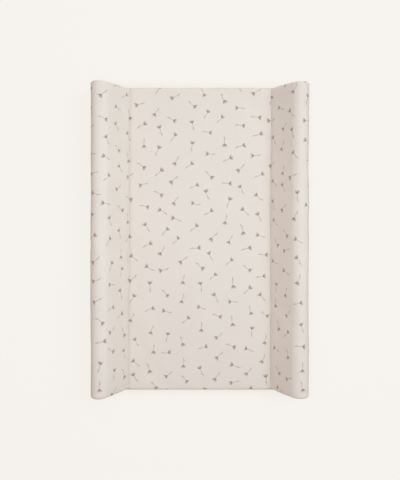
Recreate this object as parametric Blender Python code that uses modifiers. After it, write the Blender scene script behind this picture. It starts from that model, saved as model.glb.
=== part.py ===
"""Changing mat: a flat padded centre between two raised padded sides, open at both ends.

A printed sheet runs in one piece over both sides and the centre. Two plain end panels and a plain
underside close the cover, and a zip in the foot end panel lets the foam and the board in and out.
Frame: X across, +Y to the head end, +Z up. The origin is the middle of the underside on the table.
"""

import math

import bmesh
import bpy

# Driving dimensions of the whole mat, in metres
MAT_WIDTH = 0.480
MAT_LENGTH = 0.700
MAT_HEIGHT = 0.100
SIDE_WIDTH = 0.077            # a raised side, from the outer wall to the crease
PAD_HEIGHT = 0.025            # top of the centre pad at its edges
PAD_CROWN = 0.002             # how much the middle of the pad stands above its edges
CREASE_DEPTH = 0.0015         # the crease is drawn down this far below the pad's edges
CREASE_SHOULDER = 0.008       # width of the round shoulder that falls into the crease
CREST_INNER_RADIUS = 0.024    # where the slope turns over into the crest
CREST_OUTER_RADIUS = 0.018    # where the crest turns down into the outer wall
END_RADIUS = 0.006            # the cover turns over the ends, and the plan's corners are as round

# Shares of a raised side's width: crease to foot of the slope, and top of the slope to outer wall
FOOT_SHARE = 0.026
CREST_SHARE = 0.42

# Clearances between pieces that touch, and where the end panels are sewn in
GAP = 0.0003
SEAM_GAP = 0.0005

# Sheets and board
COVER_THICKNESS = 0.0008
LINER_THICKNESS = 0.0005
TIE_THICKNESS = 0.0005
BOARD_THICKNESS = 0.003
BOARD_MARGIN = 0.006          # the board is smaller than the mat by this much on each side
BOARD_CORNER_RADIUS = 0.012

# Zip: two coils on two tapes, a slider that runs on them and a pull on the slider
ZIP_MARGIN = 0.030            # from each end of the coils to the mat's outer wall
SLIT_WIDTH = 0.0012           # between the two coils, where the slider's post runs
COIL_WIDTH = 0.0014
COIL_THICKNESS = 0.0016
COIL_EDGE_RADIUS = 0.0003
TAPE_WIDTH = 0.0045
TAPE_THICKNESS = 0.0005
TAPE_OVERRUN = 0.004
STOP_LENGTH = 0.0025
STOP_EDGE_RADIUS = 0.0003
SLOT_MARGIN = 0.0004          # between the slider's edge and the slot's edge
SLIDER_LENGTH = 0.009
SLIDER_CORNER_RADIUS = 0.0012
PLATE_THICKNESS = 0.0009
FLANGE_THICKNESS = 0.0007
POST_LENGTH = 0.0016
POST_WIDTH = 0.0006
STOP_CLEARANCE = 0.0008       # between the slider and the stop when the zip is shut
BRIDGE_SPAN = 0.0044
BRIDGE_WIRE = 0.0008
PULL_LENGTH = 0.024
PULL_WIDTH = 0.005
PULL_THICKNESS = 0.0008
PULL_WINDOW_WIDTH = 0.0022
PULL_BAR = 0.0008             # the bar that turns under the bridge
PULL_CORNER_RADIUS = 0.0014

# How finely the round stretches are divided
ROW_SHARES = (0.0, 0.5, 0.8, 1.0)        # of the half length between the rounded ends
PAD_COLUMN_SHARES = (0.0, 0.35, 0.7)     # of the pad's half width up to the shoulder
CROWN_POWER = 4                          # the crown stays full along the middle and falls at the ends
SHOULDER_STEPS = 3
FOOT_STEPS = 3
CREST_STEPS = 4
END_STEPS = 3
CORNER_STEPS = 4
EDGE_STEPS = 2
BEND_STEPS = 4
WIRE_RESOLUTION = 2
SHARP_ANGLE = math.radians(50)
WELD_DISTANCE = GAP / 100

# Worked out from the sizes above
OUTER_X = MAT_WIDTH / 2
CREASE_X = OUTER_X - SIDE_WIDTH
CREASE_Z = PAD_HEIGHT - CREASE_DEPTH
FLAT_HALF = MAT_LENGTH / 2 - END_RADIUS
PANEL_FOOT = COVER_THICKNESS + GAP
BOARD_BOTTOM = COVER_THICKNESS + GAP
LINER_BOTTOM = BOARD_BOTTOM + BOARD_THICKNESS + GAP
FOAM_BOTTOM = LINER_BOTTOM + LINER_THICKNESS + GAP
FILL_INSET = COVER_THICKNESS + GAP
PANEL_INSET = END_RADIUS + SEAM_GAP

# Places in the zip, counted outwards from the foot panel's outer face
ZIP_LENGTH = MAT_WIDTH - 2 * ZIP_MARGIN
ZIP_HEIGHT = FOAM_BOTTOM + TAPE_WIDTH + SLIT_WIDTH / 2
TAPE_FRONT = -COVER_THICKNESS - GAP
TAPE_BACK = TAPE_FRONT - TAPE_THICKNESS
COIL_BACK = TAPE_FRONT + GAP
COIL_FRONT = COIL_BACK + COIL_THICKNESS
FRONT_PLATE_BACK = COIL_FRONT + GAP
FRONT_PLATE_FRONT = FRONT_PLATE_BACK + PLATE_THICKNESS
BACK_PLATE_FRONT = TAPE_BACK - GAP
BACK_PLATE_BACK = BACK_PLATE_FRONT - PLATE_THICKNESS
SLIDER_HALF_WIDTH = SLIT_WIDTH / 2 + COIL_WIDTH + GAP + FLANGE_THICKNESS
SLOT_HALF_HEIGHT = SLIDER_HALF_WIDTH + SLOT_MARGIN
SLOT_HALF_LENGTH = ZIP_LENGTH / 2 + GAP + STOP_LENGTH + GAP
SLIDER_REST_X = ZIP_LENGTH / 2 - SLIDER_LENGTH / 2 - STOP_CLEARANCE
BAR_REACH = math.hypot(PULL_THICKNESS, PULL_BAR) / 2
HINGE_FRONT = FRONT_PLATE_FRONT + GAP + BAR_REACH
BRIDGE_TOP = HINGE_FRONT + BAR_REACH + GAP + BRIDGE_WIRE / 2
BRIDGE_REACH = math.hypot((BRIDGE_SPAN + BRIDGE_WIRE) / 2, BRIDGE_TOP + BRIDGE_WIRE / 2 - HINGE_FRONT)
WINDOW_REACH = BRIDGE_REACH + GAP

# Finishes: linear red, green and blue, then roughness and metallic
PRINTED_CLOTH = (0.76, 0.70, 0.65, 0.70, 0.0)
PLAIN_CLOTH = (0.76, 0.71, 0.66, 0.75, 0.0)
LINING = (0.80, 0.78, 0.74, 0.80, 0.0)
FOAM = (0.86, 0.82, 0.68, 0.90, 0.0)
HARDBOARD = (0.30, 0.18, 0.09, 0.70, 0.0)
ZIP_TAPE = (0.70, 0.65, 0.60, 0.85, 0.0)
ZIP_COIL = (0.74, 0.70, 0.66, 0.45, 0.0)
NICKEL = (0.62, 0.60, 0.57, 0.25, 1.0)


def clear_scene():
    """Remove what the scene holds, so that the model starts from nothing."""
    for thing in list(bpy.data.objects):
        bpy.data.objects.remove(thing, do_unlink=True)


def new_collection(name):
    collection = bpy.data.collections.new(name)
    bpy.context.scene.collection.children.link(collection)
    return collection


def material(name, finish):
    """A Principled material from a finish: its colour, roughness and metallic value."""
    *colour, roughness, metallic = finish
    made = bpy.data.materials.new(name)
    made.use_nodes = True
    shader = made.node_tree.nodes["Principled BSDF"]
    shader.inputs["Base Color"].default_value = (*colour, 1.0)
    shader.inputs["Roughness"].default_value = roughness
    shader.inputs["Metallic"].default_value = metallic
    made.diffuse_color = (*colour, 1.0)
    return made


def place(name, data, collection, finish=None, location=(0, 0, 0)):
    """Put a mesh or a curve into a collection as one named object with its own material."""
    thing = bpy.data.objects.new(name, data)
    thing.location = location
    collection.objects.link(thing)
    if finish is not None:
        data.materials.append(material(name.replace("_", " "), finish))
    return thing


def mesh_from(name, shape):
    mesh = bpy.data.meshes.new(name)
    shape.to_mesh(mesh)
    shape.free()
    return mesh


def box_shape(low, high):
    """A box between two corners."""
    shape = bmesh.new()
    bmesh.ops.create_cube(shape, size=1)
    bmesh.ops.scale(shape, vec=[top - foot for foot, top in zip(low, high)], verts=shape.verts)
    bmesh.ops.translate(shape, vec=[(top + foot) / 2 for foot, top in zip(low, high)], verts=shape.verts)
    return shape


def edges_along(shape, axis):
    """The edges of a box that run along the axis with this number."""
    across = [other for other in range(3) if other != axis]
    return [edge for edge in shape.edges
            if all(edge.verts[0].co[other] == edge.verts[1].co[other] for other in across)]


def round_edges(shape, edges, radius, steps):
    bmesh.ops.bevel(shape, geom=edges, offset=radius, segments=steps, profile=0.5,
                    affect="EDGES", clamp_overlap=True)


def block(name, low, high, edge_radius=0.0):
    """A box between two corners, its edges rounded where a radius is given."""
    shape = box_shape(low, high)
    if edge_radius:
        round_edges(shape, shape.edges[:], edge_radius, EDGE_STEPS)
    return mesh_from(name, shape)


def plate(name, low, high, corner_radius, along):
    """A box whose edges along one axis are rounded, as a sheet with round corners has them."""
    shape = box_shape(low, high)
    round_edges(shape, edges_along(shape, along), corner_radius, CORNER_STEPS)
    return mesh_from(name, shape)


def side_sizes():
    """The slope's angle, the foot's radius and the two crest radii that fit between slope and wall."""
    foot_x = CREASE_X + FOOT_SHARE * SIDE_WIDTH
    crest_x = OUTER_X - CREST_SHARE * SIDE_WIDTH
    angle = math.atan2(MAT_HEIGHT - CREASE_Z, crest_x - foot_x)
    half_turn = math.tan(angle / 2)
    wanted = CREST_INNER_RADIUS * half_turn + CREST_OUTER_RADIUS
    fit = min(1.0, (OUTER_X - crest_x) / wanted)
    foot_radius = (foot_x - CREASE_X) / half_turn
    return angle, foot_radius, crest_x, CREST_INNER_RADIUS * fit, CREST_OUTER_RADIUS * fit


def pad_profile(crown):
    """The pad's top from the middle to just before the crease, each point with its normal."""
    shoulder = CREASE_X - CREASE_SHOULDER
    places = [share * shoulder for share in PAD_COLUMN_SHARES]
    places += [shoulder + CREASE_SHOULDER * step / SHOULDER_STEPS for step in range(SHOULDER_STEPS)]
    points = []
    for x in places:
        rise = crown * (1 - (x / CREASE_X) ** 2)
        pitch = -2 * crown * x / CREASE_X ** 2
        if x > shoulder:
            turn = math.pi * (CREASE_X - x) / CREASE_SHOULDER
            rise -= CREASE_DEPTH * (1 + math.cos(turn)) / 2
            pitch -= CREASE_DEPTH * math.pi * math.sin(turn) / (2 * CREASE_SHOULDER)
        length = math.hypot(pitch, 1)
        points.append((x, PAD_HEIGHT + rise, -pitch / length, 1 / length))
    return points


def side_profile(foot_z):
    """A raised side from the crease over the crest and down the outer wall, with normals."""
    angle, foot_radius, crest_x, inner_radius, outer_radius = side_sizes()
    points = []
    for step in range(FOOT_STEPS + 1):
        turn = angle * step / FOOT_STEPS
        across, up = math.sin(turn), math.cos(turn)
        points.append((CREASE_X + foot_radius * across, CREASE_Z + foot_radius * (1 - up), -across, up))
    inner_x = crest_x + inner_radius * math.tan(angle / 2)
    for step in range(CREST_STEPS + 1):
        turn = angle * (1 - step / CREST_STEPS)
        across, up = math.sin(turn), math.cos(turn)
        points.append((inner_x - inner_radius * across, MAT_HEIGHT - inner_radius * (1 - up), -across, up))
    for step in range(CREST_STEPS + 1):
        turn = math.pi / 2 * step / CREST_STEPS
        across, up = math.sin(turn), math.cos(turn)
        points.append((OUTER_X - outer_radius * (1 - across), MAT_HEIGHT - outer_radius * (1 - up), across, up))
    points.append((OUTER_X, foot_z, 1.0, 0.0))
    return points


def inset_points(profile, inset):
    """Move each point of a profile inwards along its normal."""
    return [(x - inset * across, z - inset * up) for x, z, across, up in profile]


def whole_section(crown, inset, foot_z):
    """The mat's section from the left wall's foot to the right wall's foot."""
    half = inset_points(pad_profile(crown) + side_profile(foot_z), inset)
    half[-1] = (half[-1][0], foot_z)
    return [(-x, z) for x, z in reversed(half[1:])] + half


def crown_at(y):
    """The pad's crown at a place along the mat: full in the middle, none at the ends."""
    return PAD_CROWN * (1 - min(1.0, abs(y) / FLAT_HALF) ** CROWN_POWER)


def end_rows(inset, depth):
    """Distances from the middle and insets as a surface turns over an end, down to a depth."""
    if depth >= END_RADIUS:
        return [(MAT_LENGTH / 2 - depth, inset)]
    radius = END_RADIUS - inset
    last_turn = math.asin(min(1.0, (END_RADIUS - depth) / radius))
    rows = []
    for step in range(1, END_STEPS + 1):
        turn = last_turn * step / END_STEPS
        rows.append((FLAT_HALF + radius * math.sin(turn), inset + radius * (1 - math.cos(turn))))
    return rows


def rows_along(inset, foot_depth, head_depth, shares):
    """All rows from the foot end to the head end: y, inset and crown."""
    foot_y = foot_depth - MAT_LENGTH / 2
    head_y = MAT_LENGTH / 2 - head_depth
    middle = sorted({end * share * FLAT_HALF for share in shares for end in (-1, 1)})
    rows = [(-y, row_inset) for y, row_inset in reversed(end_rows(inset, foot_depth))]
    rows += [(y, inset) for y in middle if foot_y < y < head_y]
    rows += end_rows(inset, head_depth)
    return [(y, row_inset, crown_at(y)) for y, row_inset in rows]


def loft(name, rings, closed):
    """A surface through rings of points: a capped solid from closed rings, or an open sheet."""
    shape = bmesh.new()
    grid = [[shape.verts.new(point) for point in ring] for ring in rings]
    count = len(grid[0])
    for near, far in zip(grid, grid[1:]):
        for place_on_ring in range(count if closed else count - 1):
            beside = (place_on_ring + 1) % count
            shape.faces.new((near[place_on_ring], near[beside], far[beside], far[place_on_ring]))
    if closed:
        shape.faces.new(grid[0])
        shape.faces.new(grid[-1])
        bmesh.ops.recalc_face_normals(shape, faces=shape.faces)
    return mesh_from(name, shape)


def shade_round(thing):
    """Shade a soft piece smooth, with its real edges left sharp."""
    thing.data.shade_smooth()
    thing.data.set_sharp_from_angle(angle=SHARP_ANGLE)


def solidify(thing, thickness):
    """Give an open sheet its thickness, on the side that faces the filling."""
    shell = thing.modifiers.new("thickness", "SOLIDIFY")
    shell.thickness = thickness
    shell.offset = -1
    shell.use_even_offset = True


def unite(thing, pieces):
    """Join solid pieces to a thing, so that they are one closed body."""
    for piece in pieces:
        piece.hide_render = True
        piece.display_type = "WIRE"
        union = thing.modifiers.new("union", "BOOLEAN")
        union.operation = "UNION"
        union.solver = "EXACT"
        union.object = piece


def outline_curve(name, outlines, thickness):
    """A flat piece from closed outlines, the later ones holes, centred on its own plane."""
    curve = bpy.data.curves.new(name, "CURVE")
    curve.dimensions = "2D"
    curve.fill_mode = "BOTH"
    curve.extrude = thickness / 2
    for outline in outlines:
        spline = curve.splines.new("POLY")
        spline.points.add(len(outline) - 1)
        for point, (across, up) in zip(spline.points, outline):
            point.co = (across, up, 0, 1)
        spline.use_cyclic_u = True
    return curve


def rectangle(left, right, low, high):
    return [(left, low), (right, low), (right, high), (left, high)]


def rounded_rectangle(left, right, low, high, radius):
    """A rectangle whose four corners are arcs."""
    corners = ((right - radius, high - radius), (left + radius, high - radius),
               (left + radius, low + radius), (right - radius, low + radius))
    outline = []
    for quarter, (across, up) in enumerate(corners):
        for step in range(CORNER_STEPS + 1):
            turn = math.pi / 2 * (quarter + step / CORNER_STEPS)
            outline.append((across + radius * math.cos(turn), up + radius * math.sin(turn)))
    return outline


def top_cover(parts):
    """The printed sheet: one loft over sides and centre that turns down at both ends."""
    rows = rows_along(0, 0, 0, ROW_SHARES)
    rings = [[(x, y, z) for x, z in whole_section(crown, inset, PANEL_FOOT)] for y, inset, crown in rows]
    thing = place("top_cover", loft("top_cover", rings, closed=False), parts, PRINTED_CLOTH)
    solidify(thing, COVER_THICKNESS)
    shade_round(thing)


def end_panel(name, parts, middle_y, holes):
    """A flat end panel that fills the outline left by the turned-over sheet."""
    outline = whole_section(0, PANEL_INSET, PANEL_FOOT)
    curve = outline_curve(name, [outline] + holes, COVER_THICKNESS)
    thing = place(name, curve, parts, PLAIN_CLOTH, (0, middle_y, 0))
    thing.rotation_euler = (math.pi / 2, 0, 0)


def end_panels(parts):
    middle_y = MAT_LENGTH / 2 - COVER_THICKNESS / 2
    slot = rectangle(-SLOT_HALF_LENGTH, SLOT_HALF_LENGTH, ZIP_HEIGHT - SLOT_HALF_HEIGHT,
                     ZIP_HEIGHT + SLOT_HALF_HEIGHT)
    end_panel("head_end_panel", parts, middle_y, [])
    end_panel("foot_end_panel", parts, -middle_y, [slot])


def bottom_cover(parts):
    """The underside: one flat sheet, which lies on the table and carries the whole mat."""
    mesh = plate("bottom_cover", (-OUTER_X, -MAT_LENGTH / 2, 0),
                 (OUTER_X, MAT_LENGTH / 2, COVER_THICKNESS), END_RADIUS, 2)
    place("bottom_cover", mesh, parts, PLAIN_CLOTH)


def base_board(parts):
    across = MAT_WIDTH / 2 - BOARD_MARGIN
    along = MAT_LENGTH / 2 - BOARD_MARGIN
    mesh = plate("base_board", (-across, -along, BOARD_BOTTOM),
                 (across, along, BOARD_BOTTOM + BOARD_THICKNESS), BOARD_CORNER_RADIUS, 2)
    place("base_board", mesh, parts, HARDBOARD)


def inner_liner(parts):
    """The sheet over the board. It fills the cover from wall to wall and carries the ties."""
    across = MAT_WIDTH / 2 - FILL_INSET
    along = MAT_LENGTH / 2 - FILL_INSET
    mesh = plate("inner_liner", (-across, -along, LINER_BOTTOM),
                 (across, along, LINER_BOTTOM + LINER_THICKNESS), END_RADIUS - FILL_INSET, 2)
    place("inner_liner", mesh, parts, LINING)


def crease_ties(parts):
    """Strips that hold the creases of the printed sheet down to the liner."""
    for name, side in (("left_crease_tie", -1), ("right_crease_tie", 1)):
        middle = side * CREASE_X
        mesh = block(name, (middle - TIE_THICKNESS / 2, -FLAT_HALF, FOAM_BOTTOM),
                     (middle + TIE_THICKNESS / 2, FLAT_HALF, CREASE_Z - FILL_INSET))
        place(name, mesh, parts, LINING)


def foams(parts):
    """The filling: a slab under the pad and a wedge under each raised side."""
    tie_room = TIE_THICKNESS / 2 + GAP
    foot_depth = GAP - BACK_PLATE_BACK
    slab_edge = CREASE_X - tie_room
    rings = []
    for y, inset, crown in rows_along(FILL_INSET, foot_depth, FILL_INSET, ROW_SHARES):
        half = inset_points(pad_profile(crown), inset) + [(slab_edge, CREASE_Z - inset)]
        top = [(-x, z) for x, z in reversed(half[1:])] + half
        ring = top + [(slab_edge, FOAM_BOTTOM), (-slab_edge, FOAM_BOTTOM)]
        rings.append([(x, y, z) for x, z in ring])
    thing = place("centre_foam", loft("centre_foam", rings, closed=True), parts, FOAM)
    shade_round(thing)

    ends_only = ROW_SHARES[-1:]
    for name, side in (("left_wedge_foam", -1), ("right_wedge_foam", 1)):
        rings = []
        for y, inset, _ in rows_along(FILL_INSET, foot_depth, FILL_INSET, ends_only):
            outer = inset_points(side_profile(FOAM_BOTTOM), inset)
            outer[0] = (CREASE_X + tie_room, outer[0][1])
            outer[-1] = (outer[-1][0], FOAM_BOTTOM)
            ring = [(CREASE_X + tie_room, FOAM_BOTTOM)] + outer
            rings.append([(side * x, y, z) for x, z in ring])
        thing = place(name, loft(name, rings, closed=True), parts, FOAM)
        shade_round(thing)


def zip_place(front):
    """The y of a place that lies this far in front of the foot panel's outer face."""
    return -MAT_LENGTH / 2 - front


def zip_strips(parts):
    """The two tapes and the two coils. The slit between them stands for the opened chain."""
    tape_end = SLOT_HALF_LENGTH + TAPE_OVERRUN
    for word, side in (("upper", 1), ("lower", -1)):
        near = ZIP_HEIGHT + side * SLIT_WIDTH / 2
        tape_heights = sorted((near, near + side * TAPE_WIDTH))
        coil_heights = sorted((near, near + side * COIL_WIDTH))
        name = f"zip_{word}_tape"
        mesh = block(name, (-tape_end, zip_place(TAPE_FRONT), tape_heights[0]),
                     (tape_end, zip_place(TAPE_BACK), tape_heights[1]))
        place(name, mesh, parts, ZIP_TAPE)
        name = f"zip_{word}_coil"
        mesh = block(name, (-ZIP_LENGTH / 2, zip_place(COIL_FRONT), coil_heights[0]),
                     (ZIP_LENGTH / 2, zip_place(COIL_BACK), coil_heights[1]), COIL_EDGE_RADIUS)
        place(name, mesh, parts, ZIP_COIL)


def zip_stops(parts):
    """A crimped metal stop past each end of the coils."""
    half_height = SLIT_WIDTH / 2 + COIL_WIDTH
    inner = ZIP_LENGTH / 2 + GAP
    outer = inner + STOP_LENGTH
    for name, ends in (("zip_start_stop", (-outer, -inner)), ("zip_end_stop", (inner, outer))):
        mesh = block(name, (ends[0], zip_place(COIL_FRONT), ZIP_HEIGHT - half_height),
                     (ends[1], zip_place(COIL_BACK), ZIP_HEIGHT + half_height), STOP_EDGE_RADIUS)
        place(name, mesh, parts, NICKEL)


def bridge_mesh():
    """The bridge over the front plate: a bent wire, square to the plate at both feet."""
    foot = (FRONT_PLATE_BACK + FRONT_PLATE_FRONT) / 2
    half_span = BRIDGE_SPAN / 2
    bend = min(half_span, BRIDGE_TOP - FRONT_PLATE_FRONT) / 2
    points = [(-half_span, foot)]
    for middle, start in ((bend - half_span, math.pi), (half_span - bend, math.pi / 2)):
        for step in range(BEND_STEPS + 1):
            turn = start - math.pi / 2 * step / BEND_STEPS
            points.append((middle + bend * math.cos(turn), BRIDGE_TOP - bend + bend * math.sin(turn)))
    points.append((half_span, foot))
    curve = bpy.data.curves.new("bridge", "CURVE")
    curve.dimensions = "3D"
    curve.bevel_depth = BRIDGE_WIRE / 2
    curve.bevel_resolution = WIRE_RESOLUTION
    curve.use_fill_caps = True
    spline = curve.splines.new("POLY")
    spline.points.add(len(points) - 1)
    for point, (along, front) in zip(spline.points, points):
        point.co = (along, -front, 0, 1)
    wire = bpy.data.objects.new("bridge wire", curve)
    bpy.context.scene.collection.objects.link(wire)
    bpy.context.view_layer.update()
    mesh = bpy.data.meshes.new_from_object(wire.evaluated_get(bpy.context.evaluated_depsgraph_get()))
    bpy.data.objects.remove(wire, do_unlink=True)
    shape = bmesh.new()
    shape.from_mesh(mesh)
    bmesh.ops.remove_doubles(shape, verts=shape.verts, dist=WELD_DISTANCE)
    bmesh.ops.recalc_face_normals(shape, faces=shape.faces)
    shape.to_mesh(mesh)
    shape.free()
    return mesh


def slider_front():
    """The front plate with its two flanges: a channel whose ends are a little narrower."""
    half_length = SLIDER_LENGTH / 2
    inner = SLIDER_HALF_WIDTH - FLANGE_THICKNESS
    end_width = SLIDER_HALF_WIDTH - FLANGE_THICKNESS / 2
    shoulder = half_length - SLIDER_CORNER_RADIUS
    rings = []
    for along, wide in ((-half_length, end_width), (-shoulder, SLIDER_HALF_WIDTH),
                        (shoulder, SLIDER_HALF_WIDTH), (half_length, end_width)):
        rings.append([(along, -FRONT_PLATE_FRONT, -wide), (along, -FRONT_PLATE_FRONT, wide),
                      (along, -COIL_BACK, wide), (along, -COIL_BACK, inner),
                      (along, -FRONT_PLATE_BACK, inner), (along, -FRONT_PLATE_BACK, -inner),
                      (along, -COIL_BACK, -inner), (along, -COIL_BACK, -wide)])
    return loft("zip_slider", rings, closed=True)


def zip_slider(parts, cutters):
    """A front plate with flanges, a back plate, the post between them and the pull's bridge."""
    origin = (SLIDER_REST_X, zip_place(0), ZIP_HEIGHT)
    half_length = SLIDER_LENGTH / 2
    thing = place("zip_slider", slider_front(), parts, NICKEL, origin)

    inside_front = -(FRONT_PLATE_FRONT + FRONT_PLATE_BACK) / 2
    inside_back = -(BACK_PLATE_FRONT + BACK_PLATE_BACK) / 2
    back = plate("slider back plate", (-half_length, -BACK_PLATE_FRONT, -SLIDER_HALF_WIDTH),
                 (half_length, -BACK_PLATE_BACK, SLIDER_HALF_WIDTH), SLIDER_CORNER_RADIUS, 1)
    post = block("slider post", (-POST_LENGTH / 2, inside_front, -POST_WIDTH / 2),
                 (POST_LENGTH / 2, inside_back, POST_WIDTH / 2))
    pieces = [place(mesh.name, mesh, cutters, location=origin) for mesh in (post, back)]
    pieces.append(place("slider bridge", bridge_mesh(), cutters, location=origin))
    unite(thing, pieces)
    return thing


def zip_pull(parts, slider):
    """The pull: a flat tab with a window for the bridge, turning about the bar at its end."""
    bar = PULL_BAR / 2
    half = PULL_WIDTH / 2
    body = rounded_rectangle(-PULL_LENGTH, bar, -half, half, PULL_CORNER_RADIUS)
    window = rectangle(-WINDOW_REACH, -bar, -PULL_WINDOW_WIDTH / 2, PULL_WINDOW_WIDTH / 2)
    curve = outline_curve("zip_pull", [body, window], PULL_THICKNESS)
    thing = place("zip_pull", curve, parts, NICKEL, (0, -HINGE_FRONT, 0))
    thing.rotation_euler = (math.pi / 2, 0, 0)
    thing.parent = slider


def build():
    clear_scene()
    parts = new_collection("changing mat")
    cutters = new_collection("changing mat cutters")
    top_cover(parts)
    end_panels(parts)
    bottom_cover(parts)
    base_board(parts)
    inner_liner(parts)
    crease_ties(parts)
    foams(parts)
    zip_strips(parts)
    zip_stops(parts)
    slider = zip_slider(parts, cutters)
    zip_pull(parts, slider)


build()
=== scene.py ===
# %% [markdown]
# # A changing mat with raised sides
# The mat lies on a dresser or a table: a flat padded centre between two raised padded sides, open at
# the head and at the foot. One printed sheet covers all three, so there is no seam on the lying side.
# The frame that is loaded here holds a plain solid for each piece and says which pieces move.
# This file dresses those solids. A piece of cloth or foam is made anew in the same place, with its
# thickness, seams and stitches, and a rigid piece keeps its solid or gets a finer one.

# %% Load the frame
import math

import bpy
import numpy as np
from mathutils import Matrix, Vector, geometry


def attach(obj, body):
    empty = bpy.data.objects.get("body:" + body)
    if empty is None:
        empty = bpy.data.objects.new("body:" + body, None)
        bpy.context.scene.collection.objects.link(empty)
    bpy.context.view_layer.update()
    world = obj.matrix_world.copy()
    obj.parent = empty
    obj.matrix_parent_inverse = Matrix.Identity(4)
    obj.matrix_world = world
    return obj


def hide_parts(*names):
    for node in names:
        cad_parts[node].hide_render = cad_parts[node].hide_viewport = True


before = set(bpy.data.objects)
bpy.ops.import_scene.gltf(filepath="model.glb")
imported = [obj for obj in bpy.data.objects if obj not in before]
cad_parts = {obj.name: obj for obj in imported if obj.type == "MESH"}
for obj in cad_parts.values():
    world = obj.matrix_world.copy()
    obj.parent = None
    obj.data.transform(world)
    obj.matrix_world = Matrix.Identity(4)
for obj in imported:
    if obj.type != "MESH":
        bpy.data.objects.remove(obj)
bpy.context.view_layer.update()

# %% [markdown]
# ## Sizes
# A fitted cover only looks right if every piece agrees on the same few sizes, so they are written once
# here and everything below is worked out from them. Lengths are in metres: Blender's unit is the metre,
# and both the light and the cloth simulation depend on real size.

# %% Sizes of the mat
MM = 0.001
MAT_WIDTH, MAT_LENGTH, MAT_HEIGHT = 480 * MM, 700 * MM, 100 * MM
SIDE_WIDTH = 77 * MM              # a raised side, from the outer wall to the crease
PAD_HEIGHT = 25 * MM
PAD_CROWN = 2 * MM
CREASE_DEPTH, CREASE_SHOULDER = 1.5 * MM, 8 * MM
CREST_INNER_RADIUS, CREST_OUTER_RADIUS = 24 * MM, 18 * MM
END_RADIUS = 6 * MM
FOOT_SHARE, CREST_SHARE = 0.026, 0.42
CLOTH, LINER = 0.8 * MM, 0.5 * MM
GAP = 0.3 * MM
FOAM_BOTTOM = 5.2 * MM
PANEL_INSET = 6.5 * MM

OUTER_X = MAT_WIDTH / 2
CREASE_X = OUTER_X - SIDE_WIDTH
CREASE_Z = PAD_HEIGHT - CREASE_DEPTH
END_Y = MAT_LENGTH / 2
FLAT_HALF = END_Y - END_RADIUS
COVER_FOOT = CLOTH + GAP
FILL_INSET = CLOTH + GAP
print("creases at", round(CREASE_X / MM, 1), "mm from the middle")

# %% [markdown]
# ## The camera
# A flat piece for a baby is nearly always shown from straight above, because that is how it is used.
# The lens is long enough that the raised sides lean outwards only a little. The camera hangs slightly
# to the right of the middle and towards the head, and the picture is shifted back by about as much.
# It still looks straight down, so the mat keeps its right angles, and all that is raised leans a
# little to the left and towards the foot. The camera is made early.

# %% Look straight down
CAMERA_PLACE = (0.0104, 0.0467, 1.4416)
LENS_LENGTH = 46.06
PICTURE_SHIFT = (-0.0092, -0.0445)

camera_data = bpy.data.cameras.new("camera")
camera_data.sensor_width = 36.0
camera_data.lens = LENS_LENGTH
camera_data.shift_x, camera_data.shift_y = PICTURE_SHIFT
camera = bpy.data.objects.new("camera", camera_data)
camera.location = CAMERA_PLACE
bpy.context.scene.collection.objects.link(camera)
bpy.context.scene.camera = camera
bpy.context.scene.view_settings.view_transform = "Standard"
print("camera", round(camera.location.z, 2), "m above the table, lens", camera_data.lens, "mm")

# %% [markdown]
# ## Mixing finishes with nodes
# A finish here is a sheet of nodes: some give a pattern, some mix colours, and the last one is the
# shader. Writing each node out takes five lines, so a small helper adds a node, feeds its inputs and
# hands back its output. With it a finish reads almost like a sum. Colours are picked as screen values
# from 0 to 255 and turned into the linear light that the shader works in.


# %% A helper for finishes
def paint(red, green, blue):
    """A screen colour, 0 to 255, as the linear colour that shaders expect."""
    linear = [((value / 255 + 0.055) / 1.055) ** 2.4 if value > 10 else value / 255 / 12.92
              for value in (red, green, blue)]
    return (*linear, 1.0)


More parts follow.
